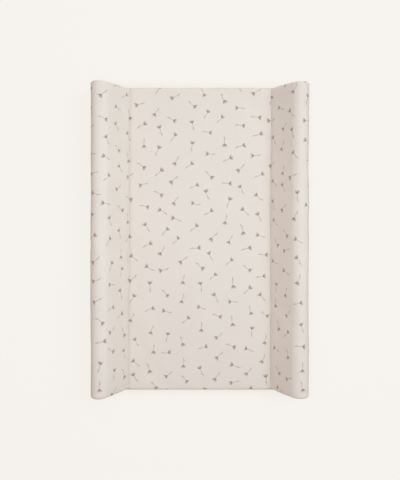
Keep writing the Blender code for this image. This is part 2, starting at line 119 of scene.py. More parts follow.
class Finish:
    """One material and its sheet of nodes. Each call adds a node and gives back its output."""

    def __init__(self, name, sheen=0.0, specular=0.5):
        self.material = bpy.data.materials.new(name)
        self.material.use_nodes = True
        self.sheet = self.material.node_tree
        self.shader = self.sheet.nodes["Principled BSDF"]
        self.shader.inputs["Specular IOR Level"].default_value = specular
        self.shader.inputs["Sheen Weight"].default_value = sheen
        self.shader.inputs["Sheen Roughness"].default_value = 0.5

    def feed(self, socket, value):
        if isinstance(value, bpy.types.NodeSocket):
            self.sheet.links.new(value, socket)
        else:
            socket.default_value = value

    def add(self, kind, inputs, out=0, **choices):
        node = self.sheet.nodes.new(kind)
        order = len(self.sheet.nodes)
        node.location = (-260 - 180 * (order % 8), 300 - 160 * (order // 8))
        for choice, value in choices.items():
            setattr(node, choice, value)
        for place, value in inputs.items():
            self.feed(node.inputs[place], value)
        return node.outputs[out]

    def sum(self, operation, *values):
        return self.add("ShaderNodeMath", dict(enumerate(values)), operation=operation)

    def times(self, first, second):
        return self.sum("MULTIPLY", first, second)

    def plus(self, first, second):
        return self.sum("ADD", first, second)

    def step(self, value, low, high, start=0.0, end=1.0):
        """A smooth step from start to end while the value goes from low to high."""
        return self.add("ShaderNodeMapRange", {0: value, 1: low, 2: high, 3: start, 4: end},
                        interpolation_type="SMOOTHSTEP")

    def blend(self, share, first, second):
        return self.add("ShaderNodeMix", {0: share, 6: first, 7: second}, 2, data_type="RGBA")

    def clouds(self, place, size, detail=2.0, roughness=0.5):
        """Soft noise whose blotches are about this large, in metres."""
        return self.add("ShaderNodeTexNoise", {"Vector": place, "Scale": 1 / size, "Detail": detail,
                                               "Roughness": roughness})

    def uneven(self, colour, place, size, amount):
        """A colour that drifts a little lighter and darker."""
        change = self.step(self.clouds(place, size), 0.3, 0.7, 1 - amount, 1 + amount)
        plain = colour[:3] if isinstance(colour, tuple) else colour
        return self.add("ShaderNodeVectorMath", {0: plain, 3: change}, operation="SCALE")

    def spread(self, place, along, across, up=1.0):
        return self.add("ShaderNodeVectorMath", {0: place, 1: (along, across, up)}, operation="MULTIPLY")

    def split(self, place):
        node = self.sheet.nodes.new("ShaderNodeSeparateXYZ")
        self.feed(node.inputs[0], place)
        return node.outputs

    def cloth_place(self):
        """Where we are on the flat cloth, in metres, before it was sewn."""
        return self.add("ShaderNodeUVMap", {}, uv_map="cloth")

    def solid_place(self):
        return self.add("ShaderNodeTexCoord", {}, "Object")

    def finish(self, colour, roughness, height=None, depth=None):
        self.feed(self.shader.inputs["Base Color"], colour)
        self.feed(self.shader.inputs["Roughness"], roughness)
        if height is not None:
            bump = self.add("ShaderNodeBump", {"Height": height, "Distance": depth, "Strength": 1.0})
            self.feed(self.shader.inputs["Normal"], bump)
        print("finish:", self.material.name, "with", len(self.sheet.nodes), "nodes")
        return self.material


# %% [markdown]
# ## The table, the room and the lamps
# The mat is pale on a pale ground, so nearly all of its form comes from small differences in tone.
# An even, slightly warm room gives the soft, shadowless look, and three lamps, all bluer than the room,
# shape it. A broad one high on the right makes the slope that faces it, the left one, lighter than the
# other. One overhead makes the middle of the mat a little lighter than its ends. A small low one behind
# the head keeps the cloth that rolls over that end from going dark. The ground is seen mostly by its
# own colour and only a little by the light on it, so it stays even to the edges of the picture. Close
# to the mat its own colour darkens, which gives the thin shadow along the open ends.

# %% Ground and room
PALE_GROUND = paint(246, 243, 238)
ROOM_LIGHT, ROOM_COLOUR = 0.576, (1.0, 0.905, 0.867, 1.0)
OWN_COLOUR_SHARE = 0.90
LIT_GROUND = 1.15
CONTACT_REACH, CONTACT_DEPTH = 22 * MM, 0.17
GROUND_BOUNCE = 0.6
GROUND_REACH = 6.0


def times_ground(share):
    """The ground's colour, lighter or darker."""
    return tuple(share * value for value in PALE_GROUND[:3]) + (1.0,)


def seen_directly(sheet):
    """1 for what the camera sees, also in or through something shiny, and 0 for light on its way."""
    rays = sheet.nodes.new("ShaderNodeLightPath")
    either = sheet.nodes.new("ShaderNodeMath")
    either.operation = "MAXIMUM"
    sheet.links.new(rays.outputs["Is Glossy Ray"], either.inputs[0])
    sheet.links.new(rays.outputs["Is Transmission Ray"], either.inputs[1])
    seen = sheet.nodes.new("ShaderNodeMath")
    seen.operation = "MAXIMUM"
    sheet.links.new(rays.outputs["Is Camera Ray"], seen.inputs[0])
    sheet.links.new(either.outputs[0], seen.inputs[1])
    return seen.outputs[0]


def room():
    world = bpy.data.worlds.new("room")
    world.use_nodes = True
    bpy.context.scene.world = world
    sheet = world.node_tree
    light = sheet.nodes["Background"]
    light.inputs["Color"].default_value = ROOM_COLOUR
    light.inputs["Strength"].default_value = ROOM_LIGHT
    backdrop = sheet.nodes.new("ShaderNodeBackground")
    backdrop.inputs["Color"].default_value = PALE_GROUND
    choice = sheet.nodes.new("ShaderNodeMixShader")
    sheet.links.new(seen_directly(sheet), choice.inputs[0])
    sheet.links.new(light.outputs[0], choice.inputs[1])
    sheet.links.new(backdrop.outputs[0], choice.inputs[2])
    sheet.links.new(choice.outputs[0], sheet.nodes["World Output"].inputs["Surface"])


def ground():
    mesh = bpy.data.meshes.new("ground")
    corners = [(x * GROUND_REACH, y * GROUND_REACH, 0) for x, y in ((-1, -1), (1, -1), (1, 1), (-1, 1))]
    mesh.from_pydata(corners, [], [(0, 1, 2, 3)])
    thing = bpy.data.objects.new("ground", mesh)
    bpy.context.scene.collection.objects.link(thing)
    finish = Finish("pale ground", specular=0.0)
    sheet = finish.sheet
    by_light = finish.blend(seen_directly(sheet), times_ground(GROUND_BOUNCE), times_ground(LIT_GROUND))
    material = finish.finish(by_light, 0.9)
    own = sheet.nodes.new("ShaderNodeEmission")
    open_sky = finish.add("ShaderNodeAmbientOcclusion", {"Distance": CONTACT_REACH}, "AO", samples=8)
    by_itself = finish.blend(open_sky, times_ground(1 - CONTACT_DEPTH), PALE_GROUND)
    finish.feed(own.inputs["Color"], by_itself)
    share = finish.times(seen_directly(sheet), OWN_COLOUR_SHARE)
    choice = sheet.nodes.new("ShaderNodeMixShader")
    finish.feed(choice.inputs[0], share)
    finish.feed(choice.inputs[1], finish.shader.outputs[0])
    finish.feed(choice.inputs[2], own.outputs[0])
    finish.feed(sheet.nodes["Material Output"].inputs["Surface"], choice.outputs[0])
    mesh.materials.append(material)


room()
ground()
print("room light", ROOM_LIGHT, "ground", tuple(round(value, 3) for value in PALE_GROUND[:3]))

# %% The lamps


def lamp(name, power, colour, size, location, target):
    """A square lamp that the camera itself doesn't see."""
    data = bpy.data.lights.new(name, "AREA")
    data.energy = power
    data.color = colour
    data.size = size
    thing = bpy.data.objects.new(name, data)
    thing.location = location
    thing.rotation_euler = (Vector(target) - Vector(location)).to_track_quat("-Z", "Y").to_euler()
    thing.visible_camera = False
    bpy.context.scene.collection.objects.link(thing)
    print(name, power, "W at", location)


lamp("overhead lamp", power=1.70, colour=(0.944, 0.990, 1.0), size=0.5,
     location=(-0.08, 0.06, 0.9), target=(-0.08, 0.02, 0.0))
lamp("head lamp", power=1.4, colour=(0.9, 0.97, 1.0), size=0.18,
     location=(0.0, 1.2, 0.1), target=(0.0, 0.35, 0.02))
lamp("side lamp", power=18.6, colour=(0.778, 0.943, 1.0), size=1.0,
     location=(1.3, 0.5, 2.0), target=(0.0, 0.05, 0.0))

# %% [markdown]
# ## The section across the mat
# Cut across, the mat is always the same: a nearly flat pad, a tight curve at the crease, a straight
# slope, a round crest and an upright outer wall. Each stretch is a line or an arc, so a point on it
# can be worked out from how far it is from the middle, measured along the cloth. That distance is what
# a cutter would chalk on the flat sheet, and it also becomes the cloth's own coordinate for the print.


# %% Points on the section
def side_sizes():
    """The slope's angle, the radius at its foot, the crest's start and its two radii."""
    foot_x = CREASE_X + FOOT_SHARE * SIDE_WIDTH
    crest_x = OUTER_X - CREST_SHARE * SIDE_WIDTH
    angle = math.atan2(MAT_HEIGHT - CREASE_Z, crest_x - foot_x)
    half_turn = math.tan(angle / 2)
    fit = min(1.0, (OUTER_X - crest_x) / (CREST_INNER_RADIUS * half_turn + CREST_OUTER_RADIUS))
    foot_radius = (foot_x - CREASE_X) / half_turn
    return angle, foot_radius, crest_x, CREST_INNER_RADIUS * fit, CREST_OUTER_RADIUS * fit


SLOPE_ANGLE, FOOT_RADIUS, CREST_X, INNER_RADIUS, OUTER_RADIUS = side_sizes()
SLOPE_UP, SLOPE_OUT = math.sin(SLOPE_ANGLE), math.cos(SLOPE_ANGLE)
FOOT_TOP = (CREASE_X + FOOT_RADIUS * SLOPE_UP, CREASE_Z + FOOT_RADIUS * (1 - SLOPE_OUT))
INNER_X = CREST_X + INNER_RADIUS * math.tan(SLOPE_ANGLE / 2)
SLOPE_TOP = (INNER_X - INNER_RADIUS * SLOPE_UP, MAT_HEIGHT - INNER_RADIUS * (1 - SLOPE_OUT))
STRETCHES = (
    CREASE_X,
    FOOT_RADIUS * SLOPE_ANGLE,
    math.hypot(SLOPE_TOP[0] - FOOT_TOP[0], SLOPE_TOP[1] - FOOT_TOP[1]),
    INNER_RADIUS * SLOPE_ANGLE,
    max(0.0, OUTER_X - OUTER_RADIUS - INNER_X),
    OUTER_RADIUS * math.pi / 2,
    MAT_HEIGHT - OUTER_RADIUS - COVER_FOOT,
)
MARKS = np.cumsum(STRETCHES)
FOOT_MARK, SLOPE_MARK, ROUND_MARK, CREST_MARK, WALL_MARK, HEM_MARK = MARKS[1:]


def on_section(distance):
    """x, z and the outward normal at a distance from the middle, measured along the cloth."""
    side = 1.0 if distance >= 0 else -1.0
    along = abs(distance)
    stretch = min(int(np.searchsorted(MARKS, along)), len(MARKS) - 1)
    rest = along - (MARKS[stretch - 1] if stretch else 0.0)
    if stretch == 0:
        drop = pitch = 0.0
        if along > CREASE_X - CREASE_SHOULDER:
            turn = math.pi * (CREASE_X - along) / CREASE_SHOULDER
            drop = CREASE_DEPTH * (1 + math.cos(turn)) / 2
            pitch = -CREASE_DEPTH * math.pi * math.sin(turn) / (2 * CREASE_SHOULDER)
        length = math.hypot(pitch, 1)
        x, z, across, up = along, PAD_HEIGHT - drop, -pitch / length, 1 / length
    elif stretch == 1:
        turn = rest / FOOT_RADIUS
        across, up = -math.sin(turn), math.cos(turn)
        x, z = CREASE_X - FOOT_RADIUS * across, CREASE_Z + FOOT_RADIUS * (1 - up)
    elif stretch == 2:
        across, up = -SLOPE_UP, SLOPE_OUT
        x, z = FOOT_TOP[0] + rest * up, FOOT_TOP[1] - rest * across
    elif stretch == 3:
        turn = SLOPE_ANGLE - rest / INNER_RADIUS
        across, up = -math.sin(turn), math.cos(turn)
        x, z = INNER_X + INNER_RADIUS * across, MAT_HEIGHT - INNER_RADIUS * (1 - up)
    elif stretch == 4:
        x, z, across, up = INNER_X + rest, MAT_HEIGHT, 0.0, 1.0
    elif stretch == 5:
        turn = rest / OUTER_RADIUS
        across, up = math.sin(turn), math.cos(turn)
        x, z = OUTER_X - OUTER_RADIUS * (1 - across), MAT_HEIGHT - OUTER_RADIUS * (1 - up)
    else:
        x, z, across, up = OUTER_X, MAT_HEIGHT - OUTER_RADIUS - rest, 1.0, 0.0
    return side * x, z, side * across, up


def across_section(distances):
    return np.array([on_section(distance) for distance in distances])


print("slope", round(math.degrees(SLOPE_ANGLE), 1), "degrees, cloth from hem to hem",
      round(2 * HEM_MARK / MM), "mm")


# %% [markdown]
# ## From section to surface
# The cover follows the section all along the mat and turns over the two ends in a small radius, until
# it meets the end panel's seam. Along the mat the pad is crowned a little, and the crown dies away at
# the ends. A place on the cloth is two distances, across and along, so any piece of cover or foam is
# a grid of such pairs. A grid is easy to shape, to unwrap and to read.
#
# A sewn mat is never quite as square as its pattern. The end seams draw the cloth in, most of all at
# the foot of each slope, and each end has its own slightly wavy outline. The right side leans out
# towards the head and its ridge stands farther out than the left one, the creases wander by a
# millimetre or two, and the filling presses the outer walls out. All of this follows from the place
# alone, so cover, panels, foam, ties and stitches move together and still fit.


# %% Points on the surface
END_PULL_LENGTH = 24 * MM
PAD_PULL, FOOT_PULL, RIGHT_CREST_PULL = 1.1 * MM, 1.8 * MM, 1.9 * MM
ABOVE_ZIP, ABOVE_PAD, UP_SIDE = (14 * MM, 24 * MM), (28 * MM, 46 * MM), (28 * MM, 70 * MM)
UP_SLOPE = (20 * MM, 50 * MM)
FOOT_BEYOND, FOOT_BREADTH = 5 * MM, 6 * MM
FOOT_LEVEL, FOOT_TALLNESS = 32 * MM, 10 * MM
HEAD_TRIM = np.array([(-240, -0.6), (-218, -0.4), (-206, 0.3), (-192, 0.4), (-182, 1.9), (-174, 1.9),
                      (-165, 0.6), (-158, 0.1), (160, 0.1), (168, -1.1), (178, -0.2), (190, 0.6),
                      (206, 1.1), (222, 1.7), (240, 1.4)]).T * MM
FOOT_TRIM = np.array([(-216, 0), (-206, 1.3), (-194, 0.7), (-180, 1.4), (-168, 1.0), (-158, 0.2),
                      (138, 0.0), (148, 0.6), (156, 1.2), (164, 1.2), (180, 0.4), (190, -1.3),
                      (212, -0.7), (240, -0.5)]).T * MM

RIGHT_HEAD_SPLAY, SPLAY_RUN = 1.2 * MM, (160 * MM, 240 * MM)
WALL_PRESS, WALL_REACH, WALL_RUN = 0.8 * MM, 40 * MM, (5 * MM, 80 * MM)
LEFT_CREASE_SLANT, RIGHT_CREASE_SHIFT, CREASE_RUN = 1.6 * MM, 2.4 * MM, (120 * MM, 250 * MM)
CREASE_REACH, CREASE_TO_WALL = 60 * MM, 10 * MM
RIGHT_RIDGE_SHIFT, RIDGE_FOOT_EASE, EASE_RUN = 2.4 * MM, 1.4 * MM, (150 * MM, 260 * MM)
RIDGE_FROM = (CREASE_X + 2 * MM, CREST_X - 6 * MM)
RIDGE_TO = (CREST_X - 2 * MM, CREST_X + 18 * MM)


def bell(offset, width):
    return np.exp(-(np.asarray(offset) / width) ** 2)


def rise(value, low, high):
    """A smooth step from 0 to 1."""
    share = np.clip((value - low) / (high - low), 0, 1)
    return share * share * (3 - 2 * share)


def over_end(along):
    """Where a distance along the cloth lies: y, how far the sheet has turned in, and its turn."""
    side = np.where(along < 0, -1.0, 1.0)
    beyond = np.maximum(np.abs(along) - FLAT_HALF, 0.0)
    turn = np.minimum(beyond / END_RADIUS, math.pi / 2)
    y = np.minimum(np.abs(along), FLAT_HALF) + END_RADIUS * np.sin(turn)
    turned_in = END_RADIUS * (1 - np.cos(turn)) + np.maximum(beyond - END_RADIUS * math.pi / 2, 0.0)
    return side * y, turned_in, side * turn


def crown(x, y):
    """How much the middle of the pad stands up."""
    across = np.clip(1 - (x / CREASE_X) ** 2, 0, None)
    return PAD_CROWN * across * (1 - np.minimum(1, np.abs(y) / FLAT_HALF) ** 4)


def drawn_in(x, y, z):
    """How far the end seams draw a point in along the mat."""
    beyond = np.abs(x) - CREASE_X
    near_end = rise(np.abs(y), FLAT_HALF - END_PULL_LENGTH, END_Y)
    raised = rise(z, *ABOVE_ZIP)
    at_pad = raised * (1 - rise(z, *ABOVE_PAD)) * (1 - rise(beyond, *UP_SLOPE))
    at_foot = bell(beyond - FOOT_BEYOND, FOOT_BREADTH) * bell(z - FOOT_LEVEL, FOOT_TALLNESS)
    at_crest = rise(z, *UP_SIDE) * (x > 0) * (y < 0)
    trim = np.where(y > 0, np.interp(x, *HEAD_TRIM), np.interp(x, *FOOT_TRIM))
    return near_end * (PAD_PULL * at_pad + FOOT_PULL * at_foot + RIGHT_CREST_PULL * at_crest + trim * raised)


def moved_aside(x, y, z):
    """How far a point stands beside its place in the plain shape, to the right."""
    across = np.abs(x)
    splay = RIGHT_HEAD_SPLAY * rise(x, CREASE_X, OUTER_X) * rise(y, *SPLAY_RUN)
    press = np.sign(x) * WALL_PRESS * rise(across, OUTER_X - WALL_REACH, OUTER_X) * rise(z, *WALL_RUN)
    near_crease = rise(across, CREASE_X - CREASE_REACH, CREASE_X)
    near_crease = near_crease * (1 - rise(across, CREASE_X, OUTER_X - CREASE_TO_WALL))
    crease = np.where(x < 0, LEFT_CREASE_SLANT * y / END_Y, RIGHT_CREASE_SHIFT * rise(y, *CREASE_RUN))
    near_ridge = np.interp(x, RIDGE_FROM, (0.0, 1.0)) * (1 - rise(x, *RIDGE_TO))
    ridge = RIGHT_RIDGE_SHIFT - RIDGE_FOOT_EASE * rise(-y, *EASE_RUN)
    return splay + press + near_crease * crease + near_ridge * ridge


def as_sewn(points):
    """Move points from the plain shape to the one that the seams pull it into."""
    x, y, z = np.moveaxis(points, -1, 0)
    return np.stack([x + moved_aside(x, y, z), y - np.sign(y) * drawn_in(x, y, z), z], axis=-1)


def surface(distances, alongs, inset=0.0):
    """A grid of points on the cover, with their outward normals."""
    x, z, across, up = across_section(distances).T
    y, turned_in, turn = over_end(np.asarray(alongs))
    y, level, upright = y[:, None], np.cos(turn)[:, None], np.sin(turn)[:, None]
    depth = turned_in[:, None] + inset * level
    whole_row = np.zeros(len(x))
    points = np.stack([x - depth * across, y - inset * upright + whole_row,
                       z - depth * up + crown(x[None, :], y)], axis=-1)
    normals = np.stack([level * across, upright + whole_row, level * up], axis=-1)
    return as_sewn(points), normals


def spaced(*stops):
    """Distances from stop to stop: pairs of an end and the spacing that leads up to it."""
    places = [stops[0]]
    for end, spacing in stops[1:]:
        count = max(1, round((end - places[-1]) / spacing))
        places += [places[-1] + (end - places[-1]) * (step + 1) / count for step in range(count)]
    return places


def mirrored(places):
    return [-place for place in reversed(places[1:])] + places


END_SEAM = FLAT_HALF + END_RADIUS * math.pi / 2 + 0.2 * MM
print("cloth from end seam to end seam", round(2 * END_SEAM / MM), "mm")


# %% [markdown]
# ## Letting the cloth settle
# A cover is cut a touch larger than its filling, and the foam presses it out between the seams. That
# shape can be sculpted, but a short cloth simulation finds it by itself. A coarse copy of the cover
# is held at the seams, grown by a fraction of a percent and pressed from inside, and how far each
# point moves is then added to the fine cover. The coarse copy keeps the simulation short, and the
# movement is capped, because firm foam lets the cloth move by a millimetre or two only.


# %% A cloth helper
LAST_MOMENT = 20


def settle(name, points, faces, held, pressure, growth):
    """Simulate a sheet that is held at some points, and give back where its points end up."""
    scene = bpy.context.scene
    mesh = bpy.data.meshes.new(name)
    mesh.from_pydata(points.tolist(), [], faces)
    thing = bpy.data.objects.new(name, mesh)
    scene.collection.objects.link(thing)
    thing.vertex_groups.new(name="held").add([int(point) for point in held], 1.0, "REPLACE")
    cloth = thing.modifiers.new("cloth", "CLOTH")
    settings = cloth.settings
    settings.quality = 5
    settings.mass = 0.3
    settings.tension_stiffness = settings.compression_stiffness = 20
    settings.shear_stiffness = 10
    settings.bending_stiffness = 2.0
    settings.air_damping = 2.0
    settings.vertex_group_mass = "held"
    settings.use_pressure = True
    settings.uniform_pressure_force = pressure
    settings.shrink_min = -growth
    settings.effector_weights.gravity = 0
    cloth.point_cache.frame_start, cloth.point_cache.frame_end = 1, LAST_MOMENT
    for moment in range(1, LAST_MOMENT + 1):
        scene.frame_set(moment)
    settled = thing.evaluated_get(bpy.context.evaluated_depsgraph_get()).to_mesh()
    moved = np.empty(len(points) * 3)
    settled.vertices.foreach_get("co", moved)
    bpy.data.objects.remove(thing, do_unlink=True)
    bpy.data.meshes.remove(mesh)
    scene.frame_set(1)
    return moved.reshape(-1, 3)


def grid_faces(rows, columns):
    return [(row * columns + column, row * columns + column + 1,
             (row + 1) * columns + column + 1, (row + 1) * columns + column)
            for row in range(rows - 1) for column in range(columns - 1)]


def softened(field, rounds):
    """Average each value of a grid with its neighbours."""
    for _ in range(rounds):
        wide = np.pad(field, 1, mode="edge")
        field = (4 * field + wide[:-2, 1:-1] + wide[2:, 1:-1] + wide[1:-1, :-2] + wide[1:-1, 2:]) / 8
    return field


# %% Settle a coarse copy of the cover
PRESS, GROWTH = 0.25, 0.006
SWELL_CAP, SINK_CAP, SOFTENING_ROUNDS = 1.4 * MM, 0.25 * MM, 2

coarse_across = mirrored(spaced(0.0, (CREASE_X, 7 * MM), (FOOT_MARK, 6 * MM), (SLOPE_MARK, 7 * MM),
                                (CREST_MARK, 6 * MM), (WALL_MARK, 6 * MM), (HEM_MARK, 8 * MM)))
coarse_along = mirrored(spaced(0.0, (FLAT_HALF, 8 * MM), (END_SEAM, 5 * MM)))


def cover_swell():
    points, normals = surface(coarse_across, coarse_along)
    rows, columns = points.shape[:2]
    across = np.abs(np.array(coarse_across))
    held = np.zeros((rows, columns), bool)
    held[0] = held[-1] = held[:, 0] = held[:, -1] = True
    held[:, np.isclose(across, CREASE_X)] = True
    flat = points.reshape(-1, 3)
    moved = settle("settling cover", flat, grid_faces(rows, columns), np.flatnonzero(held.ravel()),
                   PRESS, GROWTH)
    out = ((moved - flat) * normals.reshape(-1, 3)).sum(axis=1).reshape(rows, columns)
    print("cover settled: moved from", round(out.min() / MM, 2), "to", round(out.max() / MM, 2), "mm")
    return softened(np.clip(out, -SINK_CAP, SWELL_CAP), SOFTENING_ROUNDS)


swell_grid = cover_swell()
print("swell kept up to", round(swell_grid.max() / MM, 2), "mm")


def swell(distances, alongs):
    """The settled cloth's movement at any places across and along."""
    by_row = np.array([np.interp(distances, coarse_across, row) for row in swell_grid])
    return np.array([np.interp(alongs, coarse_along, column) for column in by_row.T]).T


# %% [markdown]
# ## A sheet with two faces
# Real cloth has a thickness and a back. Each sheet is therefore closed: the outer face, an inner face
# one cloth thickness inside it, and a rim that joins them. Two sets of cloth coordinates go with it.
# One is in metres, so that weave and print keep their true size on every piece, and the other fills
# a square, so that the finish can be baked into a picture for other programs. There the outer face
# gets nearly all the room, and the hidden back shares a narrow strip.


# %% Sheet and piece helpers
def keep(name, mesh, body, material):
    """Make a piece of the object from a mesh: it rides on a body and takes a slot's finish."""
    thing = bpy.data.objects.new(name, mesh)
    bpy.context.scene.collection.objects.link(thing)
    mesh.shade_smooth()
    mesh.materials.append(material)
    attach(thing, body)
    return thing


BAKED_WIDTHS, BAKED_STARTS = np.array([0.965, 0.015, 0.002]), np.array([0.0, 0.975, 0.994])


def sheet_mesh(name, points, normals, faces, thickness, flat_place):
    """A closed sheet of cloth around its outer face, with its cloth coordinates."""
    count = len(points)
    forward = {(here, there) for face in faces for here, there in zip(face, face[1:] + face[:1])}
    rim = [(there, here, here + count, there + count)
           for here, there in sorted(forward) if (there, here) not in forward]
    back = [tuple(corner + count for corner in reversed(face)) for face in faces]
    mesh = bpy.data.meshes.new(name)
    mesh.from_pydata(np.vstack([points, points - normals * thickness]).tolist(), [], faces + back + rim)

    corners = np.empty(len(mesh.loops), int)
    mesh.loops.foreach_get("vertex_index", corners)
    sizes = [len(face) for face in faces + back + rim]
    kinds = np.repeat([0] * len(faces) + [1] * len(back) + [2] * len(rim), sizes)
    place = flat_place[corners % count]
    mesh.uv_layers.new(name="cloth").data.foreach_set("uv", place.ravel())
    unit = (place - flat_place.min(axis=0)) / np.ptp(flat_place, axis=0)
    baked = np.stack([BAKED_STARTS[kinds] + BAKED_WIDTHS[kinds] * unit[:, 0], unit[:, 1]], axis=1)
    mesh.uv_layers.new(name="OFBake").data.foreach_set("uv", baked.ravel())
    mesh.validate()
    return mesh


def grid_sheet(name, points, normals, thickness, distances, alongs):
    rows, columns = points.shape[:2]
    place = np.stack(np.meshgrid(distances, alongs), axis=-1).reshape(-1, 2)
    return sheet_mesh(name, points.reshape(-1, 3), normals.reshape(-1, 3), grid_faces(rows, columns),
                      thickness, place)


# %% [markdown]
# ## The cloth's weave
# The cover is fine coated cotton. Close to, the threads cross over and under about every half
# millimetre, and the coating leaves a soft, slightly uneven gloss. Two sine waves multiplied give
# the plain weave as a height for the bump. The colour drifts a little over a hand's width, as dyed
# cloth does, and that keeps the large plain surfaces from looking like plastic.

# %% Weave
THREAD_PITCH = 0.55 * MM
CREAM = paint(232, 224.5, 217)


def weave(finish, place):
    """The height of a plain weave, from 0 to 1, with threads that are not all alike."""
    wobble = finish.times(finish.clouds(place, 4 * MM), 0.9)
    turns = 2 * math.pi / THREAD_PITCH
    across, along, _ = finish.split(finish.spread(place, turns, turns))
    warp = finish.sum("SINE", finish.plus(across, wobble))
    weft = finish.sum("SINE", finish.plus(along, wobble))
    return finish.plus(finish.times(finish.times(warp, weft), 0.5), 0.5)


def cream_colour(finish, place, threads):
    """Cream that drifts a little over a hand's width and over a few threads, with painted shade between
    them.
    """
    colour = finish.uneven(CREAM, place, 90 * MM, 0.012)
    colour = finish.uneven(colour, place, 3 * MM, 0.010)
    # painted shade: the hollows between the threads, low in the bump, are darker
    return finish.blend(finish.step(threads, 0.1, 0.9, 0.06, 0.0), colour, paint(205, 194, 184))


def plain_cloth():
    finish = Finish("plain cream cloth", sheen=0.08, specular=0.35)
    place = finish.cloth_place()
    threads = weave(finish, place)
    colour = cream_colour(finish, place, threads)
    rough = finish.step(finish.clouds(place, 25 * MM), 0.3, 0.7, 0.62, 0.74)
    return finish.finish(colour, rough, threads, 0.05 * MM)


PLAIN_CLOTH = plain_cloth()

# %% [markdown]
# ## The print
# Nursery cloth is often strewn with one small motif, turned every way so that the print has no up or
# down. Here it is a sprig: a thin curved stem, a small bloom of three petals at its end and one leaf.
# The sheet is divided into cells, every other row shifted by half a cell, and the rows run at a slant,
# so that the eye doesn't find them. Each cell draws one sprig with its own place, turn, bend and size,
# all taken from a noise value of that cell. Nothing reaches over a cell's edge, so no cell needs to
# know its neighbours. A petal is drawn as a width that grows and shrinks along its length, and ink
# covers what lies within it. Along the creases a painted shade darkens the cloth, as deep in a fold.

# %% Print
CELL = 42 * MM
STRAY = 6.5 * MM
PRINT_SLANT = math.radians(24)
INK = paint(150, 123, 113)
STEM_START, STEM_END = -14 * MM, 4.5 * MM
STEM_HALF_WIDTH, STEM_TIP = 0.42 * MM, 0.4 * MM
BLOOM_FOOT = 3.6 * MM
# the turn of each petal, its length and half its width
PETALS = ((0.0, 9.4 * MM, 2.0 * MM), (0.62, 10.2 * MM, 1.9 * MM), (-0.62, 10.2 * MM, 1.9 * MM))
LEAF_FOOT, LEAF_TURN, LEAF_LENGTH, LEAF_HALF_WIDTH = -12.0 * MM, 0.42, 9.0 * MM, 0.95 * MM
PETAL_BLUNT, LEAF_BLUNT = 0.9, 0.8
MOST_BEND, SIZES = 26.0, (1.08, 0.95)
INK_EDGE = 0.25 * MM
# how strong the ink is, from the foot of a petal or the leaf to its tip
STEM_INK, PETAL_INK, LEAF_INK = 0.66, (0.90, 0.38), (0.5, 0.28)
# the painted shade along the creases: how far it reaches, how strong it is and its dark colour
FOLD_REACH, FOLD_SHADE, FOLD_SHADE_COLOUR = 2.0 * MM, 0.11, paint(150, 135, 125)


def petal(finish, along, across, foot, turn, length, half_width, blunt):
    """Ink inside a leaf or petal that starts at its foot on the stem. Also how far along it we are."""
    from_foot = finish.sum("SUBTRACT", along, foot)
    ahead = finish.plus(finish.times(from_foot, math.cos(turn)), finish.times(across, math.sin(turn)))
    aside = finish.plus(finish.times(from_foot, -math.sin(turn)), finish.times(across, math.cos(turn)))
    share = finish.sum("MINIMUM", finish.sum("MAXIMUM", finish.sum("DIVIDE", ahead, length), 0.0), 1.0)
    fullest = blunt / (1 + blunt)
    peak = half_width / (fullest ** blunt * (1 - fullest))
    grown, left_to_go = finish.sum("POWER", share, blunt), finish.sum("SUBTRACT", 1.0, share)
    width = finish.times(finish.times(grown, left_to_go), peak)
    inside = finish.sum("SUBTRACT", width, finish.sum("ABSOLUTE", aside))
    return finish.step(inside, 0.0, INK_EDGE), share


def chances(finish, column, row, layer):
    """Three chance values from 0 to 1 that belong to one cell."""
    place = finish.add("ShaderNodeCombineXYZ", {0: column, 1: row, 2: layer})
    return finish.split(finish.add("ShaderNodeTexWhiteNoise", {"Vector": place}, "Color",
                                   noise_dimensions="3D"))


